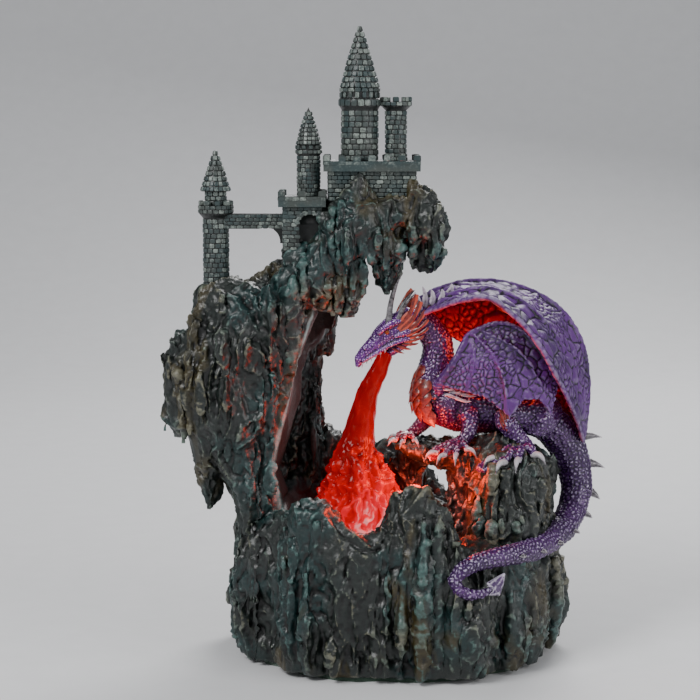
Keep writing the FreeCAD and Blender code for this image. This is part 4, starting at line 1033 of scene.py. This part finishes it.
def build_bridge():
    chance = random.Random(17)
    low, high = box_of("bridge")
    meshes = []
    for y, out in ((low.y, (0, -1, 0)), (high.y, (0, 1, 0))):
        lay_wall(meshes, (low.x, y, 0), (high.x, y, 0), high.z - 7.0, high.z, out, chance, 1.9, 3.0)
    return brick_piece("bridge_bricks", meshes, "bridge")


def build_castle():
    brick_finish = paint_brick()

    def settle(piece, node_name):
        shade(piece, 30)
        done(piece, brick_finish, "castle_stone", node_name)

    _, _, z, top = tower_axis("great_tower")
    crown = z + 24.2
    settle(build_tower("great_tower_bricks", "great_tower", (3.3, 2.75),
                       [(z, crown, 8.7, 8.7), (crown + 1.8, crown + 5.4, 10.0, 10.0),
                        (crown + 8.6, crown + 10.6, 9.3, 9.3)],
                       (crown + 10.5, top, 9.1), 11, arcade=(crown + 5.6, 9.2, 3.2)), "great_tower")
    _, _, z, top = tower_axis("gate_tower")
    crown = z + 19.5
    settle(build_tower("gate_tower_bricks", "gate_tower", (2.4, 2.0),
                       [(z, crown, 5.4, 5.4), (crown + 0.9, crown + 2.7, 6.2, 6.2)],
                       (crown + 5.2, top, 5.8), 12, arcade=(crown + 2.9, 5.8, 2.2)), "gate_tower")
    _, _, z, _ = tower_axis("round_tower")
    settle(build_tower("round_tower_bricks", "round_tower", (2.8, 2.3),
                       [(z, z + 3.6, 5.4, 5.0), (z + 3.6, z + 24, 4.9, 4.9), (z + 26.2, z + 28.3, 7.35, 7.35)],
                       None, 13, teeth=(z + 29.3, 6.3, 8)), "round_tower")
    _, _, z, top = tower_axis("watch_tower")
    walk = z + 44.5
    settle(build_tower("watch_tower_bricks", "watch_tower", (2.7, 2.4),
                       [(z, z + 38, 6.1, 6.1), (walk - 3.9, walk, 8.3, 8.3), (walk, walk + 6.8, 5.0, 5.0)],
                       (walk + 6.8, top, 7.0), 14, teeth=(walk + 1.1, 7.3, 9)), "watch_tower")
    settle(build_block("keep_bricks", "keep", 15), "keep")
    settle(build_block("gatehouse_bricks", "gatehouse", 16), "gatehouse")
    settle(build_bridge(), "bridge")
    bpy.data.objects.remove(BRICK)


# ---------------------------------------------------------------- dragon
FEET = (  # root, toe ends, toe radius, claw length
    ((60, -24, 104.5), ((46, -35, 101.0), (50, -38, 99.5), (57, -37, 100.5), (66, -31, 102.0)), 2.3, 7.5),
    ((29, -23.5, 106.0), ((18, -27.5, 102.6), (22, -31, 101.8), (28, -31, 102), (34, -27, 104)), 1.8, 5.5),
    ((6, -7.5, 108.0), ((-1, -13, 106.0), (3, -15.5, 105.8), (9, -14, 106), (0, -7, 107)), 1.5, 4.5),
    ((56, 16, 106.0), ((47, 20, 105.5), (52, 24, 105.0), (60, 24, 105.5)), 2.0, 5.0),
)

# The line down the throat and chest: height, x and y of its middle, and its radius.
THROAT = ((108, 30, -4, 10.5), (113, 25, -4.5, 12), (119, 20.5, -5, 12.6), (125, 18.6, -5.5, 12),
          (131, 18.4, -5.5, 10.8), (137, 18.8, -5, 9.9), (143, 20.0, -4.3, 8.9), (149, 20.4, -4, 8.2),
          (155, 19.4, -4.2, 7.9), (160, 16.5, -4.6, 7.4))


def toes(root, tips, radius):
    """Toes from a foot, each with a knuckle."""
    made = []
    for tip in tips:
        a, b = Vector(root), Vector(tip)
        knuckle = a.lerp(b, 0.55) + Vector((0, 0, radius * 0.9))
        made.append(stroke([a, knuckle, b], [radius, radius * 1.05, radius * 0.75]))
    return made


def claws(root, tips, radius, length):
    """Each claw goes on the way that its toe points, and hooks down."""
    made = []
    for tip in tips:
        b = Vector(tip)
        way = (b - Vector(root)).normalized()
        made.append(stroke([b - way * radius, b + way * length * 0.45 + Vector((0, 0, radius * 0.7)),
                            b + way * length + Vector((0, 0, -length * 0.3))], [radius, radius * 0.75, 0.12]))
    return made


def scaly(piece, name, grain, size, depth, still=None, rounds=4):
    """One skin with raised scales. still(places) says what share of the scales' height each point gets."""
    clay(piece, grain, rounds)
    places = places_of(piece)
    mark(piece, "give", np.ones(len(places)) if still is None else still(places))
    sculpt(piece, name, scaled_skin(size, depth))
    mark_relief(piece, 3)
    shade(piece, 80)
    return piece


def throat_at(z):
    levels = [k[0] for k in THROAT]
    return [float(np.interp(z, levels, [k[i] for k in THROAT])) for i in (1, 2, 3)]


def model_scutes():
    """Broad plates that overlap down the chest, in rows round its front."""
    chance = random.Random(21)
    fall = 8.2
    scutes = []
    for turn, top, low in ((180, 141, 124), (210, 143, 120), (240, 136, 117)):
        out = Vector((math.cos(math.radians(turn)), math.sin(math.radians(turn)), 0))
        z = top
        while z > low:
            x, y, radius = throat_at(z)
            root = Vector((x, y, z)) + out * (radius - 1.2)
            x, y, radius = throat_at(z - fall)
            tip = Vector((x, y, z - fall)) + out * (radius + 0.9)
            scutes.append(plate(root, tip, out, 7.8, 2.4, chance.uniform(-0.4, 0.4)))
            z -= fall * 0.6
    return scutes


def build_dragon():
    skin = paint_dragon("dragon_paint", tone(0.07, 0.012, 0.12), tone(0.42, 0.36, 0.5))
    barb = paint_dragon("barb_paint", tone(0.12, 0.06, 0.16), tone(0.5, 0.45, 0.55), 0.1, 0.7)
    bone = paint_horn("bone", tone(0.035, 0.03, 0.037), tone(0.52, 0.49, 0.52))
    # painted fire light: the chest plates, frill and knee streaks get a dark red with orange edges, as the fire
    # lights them
    fire_lit_bone = paint_horn("fire_lit_bone_paint", tone(0.085, 0.004, 0.007), tone(0.5, 0.07, 0.03), 0.45, 1.5)
    pale_bone = paint_horn("pale_bone", tone(0.16, 0.11, 0.17), tone(0.62, 0.56, 0.62), -0.5, 0.7)

    limbs = []
    for root, tips, radius, _ in FEET:
        limbs += toes(root, tips, radius)
    limbs += [
        stroke([(66, -15, 110), (69, -14.5, 119), (61, -17, 122)], [6, 9, 5]),        # near thigh
        stroke([(52, -21.5, 122), (54, -22.5, 116), (59, -23.5, 109)], [3, 4.4, 3]),   # near calf
        stroke([(26, -12, 117), (24.5, -16, 125), (28, -17, 131)], [5, 6.0, 3.5]),     # near shoulder
        stroke([(33, -17, 121), (36, -18.5, 115), (33.5, -21.5, 109)], [3.4, 3.2, 2.6]),   # near forearm
        stroke([(21.5, -2, 150), (24.5, -1, 142), (26, -1, 134)], [3.5, 4.5, 5]),      # nape
    ]
    body = one_piece("dragon", [casting("dragon", "dragon_body")] + limbs)
    scaly(body, "body_scales", 0.5, 1.9, 0.6)
    done(body, skin, "dragon_skin", "dragon_body")
    fit("chest_scutes", model_scutes(), fire_lit_bone, "dragon_skin")
    tail = casting("tail_skin", "tail")
    scaly(tail, "tail_scales", 0.5, 2.1, 0.65)
    done(tail, skin, "dragon_skin", "tail")
    tip = clay(casting("tail_barb", "tail_tip"), 0.35, 2)
    fit("tail_barb", [tip], barb, "dragon_skin", "tail_tip", reach=3)

    nails = []
    for root, tips, radius, length in FEET:
        nails += claws(root, tips, radius * 0.8, length)
    fit("claws", nails, bone, "horn", reach=2)
    spines = clay(casting("tail_spines", "spines"), 0.3, 2)
    fit("tail_spines", [spines], bone, "horn", "spines", reach=4)
    build_ruffs(fire_lit_bone, pale_bone)
    build_head(bone, fire_lit_bone)
    build_wings(pale_bone)


def build_ruffs(fire_lit_bone, pale_bone):
    """Pointed tufts behind the shoulder and over the hind knee."""
    chance = random.Random(31)
    tufts = []
    for k in range(26):
        row, place = divmod(k, 7)
        root = Vector((19.5 + place * 1.9 + row * 1.1, -18.6 - row * 0.8, 138.2 - row * 2.8 - place * 0.6))
        way = Vector((4.4, -1.5, 1.2 - 0.5 * row)) * chance.uniform(0.8, 1.25)
        tufts.append(plate(root, root + way, (0, -1, 0.2), 1.35, 0.9, chance.uniform(-0.3, 0.3)))
    fit("shoulder_tufts", tufts, pale_bone, "dragon_skin")
    streaks = []
    for k in range(9):
        row, place = divmod(k, 3)
        root = Vector((49.5 + 1.3 * place, -24.6, 124.5 - 2.4 * row - place * 1.0))
        streaks.append(plate(root, root + Vector((1.8, -1.2, -6.0)), (-0.4, -1, 0), 1.6, 1.2,
                             chance.uniform(-0.4, 0.4)))
    fit("knee_streaks", streaks, fire_lit_bone, "dragon_skin")


# Along one side of the head: x, distance from the middle, and z. Strokes then have their radii.
BROW_AND_LIPS = (
    (((5, 4.8, 164.5), (-1, 5.6, 164.0), (-6.5, 5.4, 160.8), (-9, 4.4, 158)), (1.2, 1.7, 1.5, 0.8)),
    (((-9, 1.6, 156.5), (-13, 2.0, 152.8), (-15.6, 2.3, 150.6)), (1.1, 1.2, 1.6)),
    (((8, 5.0, 157), (2, 5.6, 155.0), (-4, 4.8, 152.2), (-10, 3.9, 148.6), (-16.5, 2.5, 144.6)),
     (1.6, 1.3, 1.0, 0.95, 0.8)),
    (((9, 4.6, 161), (4, 5.8, 159), (-1, 5.6, 157)), (2.0, 1.8, 1.0)),
    (((7, 3.4, 155.5), (2, 3.4, 151.6), (-3, 2.6, 148.8)), (1.5, 1.2, 0.8)),
)
HORNS = (
    (((-3.8, 3.2, 162.5), (-3.0, 3.7, 171), (-0.8, 4.3, 180), (2.2, 4.7, 187.4)), (1.6, 1.25, 0.8, 0.1)),
    (((0.4, 3.9, 163.5), (2.4, 4.9, 169), (5.2, 5.7, 174), (9.2, 6.1, 178.5)), (1.5, 1.2, 0.8, 0.1)),
)
FRILL = (  # root, tip, width, thickness, bend
    ((0.5, 5.6, 162.0), (8.4, 8.0, 177.5), 2.3, 1.7, 2.2),
    ((2.4, 6.0, 161.2), (10.6, 8.3, 174.2), 2.2, 1.6, 2.0),
    ((4.2, 6.0, 160.0), (13.0, 8.4, 170.2), 2.2, 1.5, 1.7),
    ((5.2, 6.0, 158.6), (14.8, 8.2, 166.0), 2.0, 1.5, 1.3),
    ((5.5, 5.8, 157.0), (15.0, 7.8, 161.9), 1.9, 1.4, 1.1),
    ((5.0, 5.6, 155.3), (13.2, 7.2, 157.8), 1.8, 1.3, 0.8),
    ((3.5, 5.2, 153.8), (10.6, 6.6, 154.0), 1.7, 1.2, 0.5),
    ((1.0, 4.6, 152.6), (7.2, 5.6, 151.0), 1.6, 1.1, 0.4),
    ((-1.5, 3.8, 151.2), (3.8, 4.6, 148.8), 1.4, 1.0, 0.3),
)
TEETH = (  # x, z and length
    (-16.4, 144.0, 2.6), (-14.2, 145.2, 1.7), (-12.0, 146.6, 1.9), (-9.8, 147.8, 1.6), (-7.6, 149.2, 1.8),
    (-5.4, 150.4, 1.5),
)
BROW_SPIKES = (  # x, distance from the middle, z and length
    (-8.6, 4.6, 158.6, 3.0), (-6.0, 5.4, 161.2, 3.6), (-3.2, 5.6, 163.4, 3.8), (-5.8, 1.2, 161.6, 4.6),
    (-2.8, 1.4, 164.2, 5.0), (0.6, 5.6, 164.8, 4.0),
)


def build_head(bone, fire_lit_bone):
    """The long snout with brows, lips and nostrils; horns, frill and cheek spikes are pieces of their own."""
    dark_horn = paint_horn("dark_horn", tone(0.02, 0.018, 0.022), tone(0.4, 0.38, 0.4), 0.7, 1.5)
    parts, frill, teeth, eyes, horns = [casting("head", "dragon_head")], [], [], [], []
    for side in (-1, 1):
        def at(x, away, z):
            return Vector((x, -7.2 - 0.045 * (7 - x) + side * away, z))
        parts += [stroke([at(*p) for p in points], radii) for points, radii in BROW_AND_LIPS]
        for x, z, long in TEETH:
            away = 0.2232 * (x + 17) + 2.2
            teeth.append(stroke([at(x, away, z), at(x - 0.3, away + 0.1, z - long)], [0.5, 0.06], 1, 2))
        put_down()
        bpy.ops.mesh.primitive_uv_sphere_add(segments=24, ring_count=12, radius=1.25 * MM)
        eye = bpy.context.object
        eye.data.transform(Matrix.Translation(at(-4.6, 5.1, 159.2) * MM))
        eyes.append(eye)
        horns += [stroke([at(*p) for p in points], radii, 3, 8) for points, radii in HORNS]
        frill += [plate(at(*root), at(*tip), (0, side, 0.1), *sizes) for root, tip, *sizes in FRILL]
        horns += [stroke([at(x, away, z), at(x + 0.9, away + 0.6, z + long)], [0.8, 0.1], 2, 3)
                  for x, away, z, long in BROW_SPIKES]
    head = one_piece("head", parts)
    scaly(head, "head_scales", 0.36, 1.25, 0.32, rounds=3)
    done(head, paint_dragon("head_paint", tone(0.13, 0.014, 0.24), tone(0.55, 0.42, 0.62), 0.35, 1.1),
         "dragon_skin", "dragon_head")
    fit("horns_and_brow", horns, dark_horn, "horn", "horns", reach=2)
    fit("frill", frill, fire_lit_bone, "horn")
    fit("teeth", teeth, bone, "horn", reach=2)
    fit("eyes", eyes, plain("eye_gloss", (0.22, 0.04, 0.005), (0.05, 0.1)), "dragon_skin")


# Lines that the wings' fingers and ribs follow: x, y, z and radius.
HOOD_RIBS = (
    ((12.5, -14, 168, 1.0), (21, -23, 172.5, 1.4), (31, -30, 176.5, 1.5), (43, -37, 178, 1.5),
     (54, -41, 170.5, 1.5), (64, -41, 159.5, 1.4), (72, -37, 146, 1.4), (79.5, -28, 132.5, 1.3),
     (87, -15, 117.5, 1.1), (92.5, -2, 103, 0.7)),
    ((12.5, -9, 171.6, 0.7), (21, -12, 176.2, 0.9), (31, -15, 179.6, 1.0), (43, -18, 181.6, 1.0),
     (57, -21, 177.2, 0.9), (70, -20, 167, 0.9), (80, -15, 153.6, 0.8), (88, -8, 136.6, 0.7),
     (93, 0, 118, 0.6)),
    ((10.5, -1, 174.2, 1.2), (21, 2, 178.8, 1.5), (31, 4, 181.6, 1.6), (43, 5, 182.6, 1.6),
     (57, 6, 180.6, 1.6), (70, 7, 175.8, 1.5), (83.6, 8, 166, 1.3), (92.8, 9, 150.3, 1.2),
     (96.3, 9, 130, 1.0), (95.2, 8, 108, 0.7)),
    ((12, 8, 168.6, 0.8), (21, 17, 171.6, 1.0), (32, 24.6, 172.2, 1.0), (44, 28.6, 171.2, 1.0),
     (57, 29.7, 168, 1.0), (70, 28.7, 162, 0.9), (81.7, 27.6, 150.6, 0.8), (87.7, 25.4, 138, 0.8),
     (90.6, 22.2, 122, 0.7)),
)
NEAR_FINGERS = (
    ((34, -20.2, 158.5, 1.8), (27, -22.6, 146, 1.5), (20, -21.4, 135, 1.2)),
    ((34, -20.2, 158.5, 1.8), (41, -23.4, 163, 1.3), (48, -25.4, 165.2, 1.2), (57, -26.8, 163.2, 1.1),
     (65, -26.4, 156, 1.0), (72, -24.8, 146, 0.9), (77, -22.4, 136, 0.6)),
    ((35, -21.6, 157, 0.9), (37, -27.0, 147, 0.8), (33, -27.0, 132, 0.5)),
    ((37, -22.8, 159, 0.9), (47, -30.6, 148, 0.9), (53.6, -32.6, 119.5, 0.5)),
    ((40, -23.4, 161.6, 0.9), (60, -30.8, 150, 0.8), (74, -25.4, 120, 0.5)),
)


def ribs_of(lines):
    return [stroke([knot[:3] for knot in line], [knot[3] for knot in line], 2, 6) for line in lines]


def webbed(name, node_name, lines, grain, size, depth):
    """A wing: ribs along its lines, and skin in cells between them."""
    piece = clay(one_piece(name, [casting(name, node_name)] + ribs_of(lines)), grain, 3)
    away = from_lines(places_of(piece), lines)
    mark(piece, "give", 0.4 + 0.6 * np.clip((away - 0.2) / 1.0, 0, 1))
    sculpt(piece, name + "_cells", webbed_skin(size, depth))
    mark_relief(piece, 4, 0.05)
    shade(piece, 80)
    return piece


def build_wings(pale_bone):
    wing = paint_wing()
    hood = webbed("raised_wing", "right_wing", HOOD_RIBS, 0.74, 7.6, 1.2)
    inside = np.clip(-turned_away(hood, HOOD_HOLLOW) * 3, 0, 1)
    mark(hood, "inside", spread(hood, inside, 3))
    done(hood, wing, "wing_skin", "right_wing")
    near = webbed("folded_wing", "left_wing", NEAR_FINGERS, 0.52, 5.4, 1.0)
    mark(near, "inside", np.zeros(len(near.data.vertices)))
    done(near, wing, "wing_skin", "left_wing")
    fit("wing_crest", [plate(root, tip, (0, -1, 0.1), 3.0, 1.6, 0.8) for root, tip in (
        ((11, -12, 169), (8.4, -13.5, 178.5)), ((13.4, -11, 171), (12.4, -12.5, 181.2)),
        ((16.6, -13, 172.5), (16.4, -14, 180)), ((20.4, -14, 174), (21.6, -15, 180.4)),
        ((24.6, -8, 177.5), (26.6, -8.6, 182.4)))], pale_bone, "horn")


def build_fire():
    """The fire in the crater, with its tongues, and the stream up to the jaw."""
    tongues = [stroke(points, radii) for points, radii in (
        (((-9, -13, 68), (-7, -13, 86), (-8, -11, 99)), (9, 6, 0.8)),
        (((-25, -15, 68), (-28, -14, 84), (-28, -12, 98)), (8, 5, 0.8)),
        (((-17, -21, 62), (-18, -22, 76), (-15, -20, 90)), (7.5, 5, 0.8)),
        (((-2, -14, 62), (0, -15, 74), (-1, -14, 87)), (7, 4.4, 0.8)),
        (((-33, -9, 64), (-35, -9, 76), (-34, -9, 88)), (5, 3.4, 0.8)),
        (((-8, -23, 58), (-6, -25, 67), (-7, -24, 77)), (6, 4, 0.8)),
        (((-24, -22, 60), (-27, -23, 70), (-27, -22, 80)), (6, 3.6, 0.8)))]
    fire = clay(one_piece("fire", [casting("fire", "flame")] + tongues), 0.72, 3)
    places = places_of(fire)
    mark(fire, "give", np.where(places[:, 2] < 57, 0.0, 1.0))
    sculpt(fire, "fire_folds", licking_fire)
    mark_relief(fire, 5, 0.0)
    shade(fire, 75)
    done(fire, pour_fire(), "flame_resin", "flame")


# ---------------------------------------------------------------- parts that the CAD already has right
def dress_stock_parts():
    for material, nodes in (
            (cut_felt(), ("felt_pad",)),
            (plain("steel", (0.55, 0.55, 0.56), (0.25, 0.4), 1.0),
             ("tower_pins", "rock_dowels", "wing_pins", "board_screws", "plate_screws", "door_screws",
              "switch_screws")),
            (plain("black_plastic", (0.02, 0.02, 0.021), (0.4, 0.55)),
             ("base_plate", "battery_box", "battery_door", "switch_body", "switch_lever")),
            (plain("nickel_plate", (0.68, 0.66, 0.6), (0.18, 0.3), 1.0), ("contact_springs", "contact_plates")),
            (plain("cell_wrap", (0.05, 0.28, 0.1), (0.3, 0.4), 0.4), ("cells",)),
            (plain("board_mask", (0.02, 0.16, 0.06), (0.25, 0.35)), ("led_board",)),
            (plain("lamp_lens", (0.85, 0.6, 0.6), (0.08, 0.15)), ("leds",)),
            (plain("red_wire", (0.5, 0.02, 0.02), (0.35, 0.5)), ("red_lead",)),
            (plain("black_wire", (0.015, 0.015, 0.015), (0.35, 0.5)), ("black_leads",))):
        for name in nodes:
            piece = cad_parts[name]
            piece.data.materials.clear()
            piece.data.materials.append(material)


set_up_camera()
roll_out_paper()
hang_lamps()
dress_stock_parts()
build_rocks()
build_castle()
build_dragon()
build_fire()
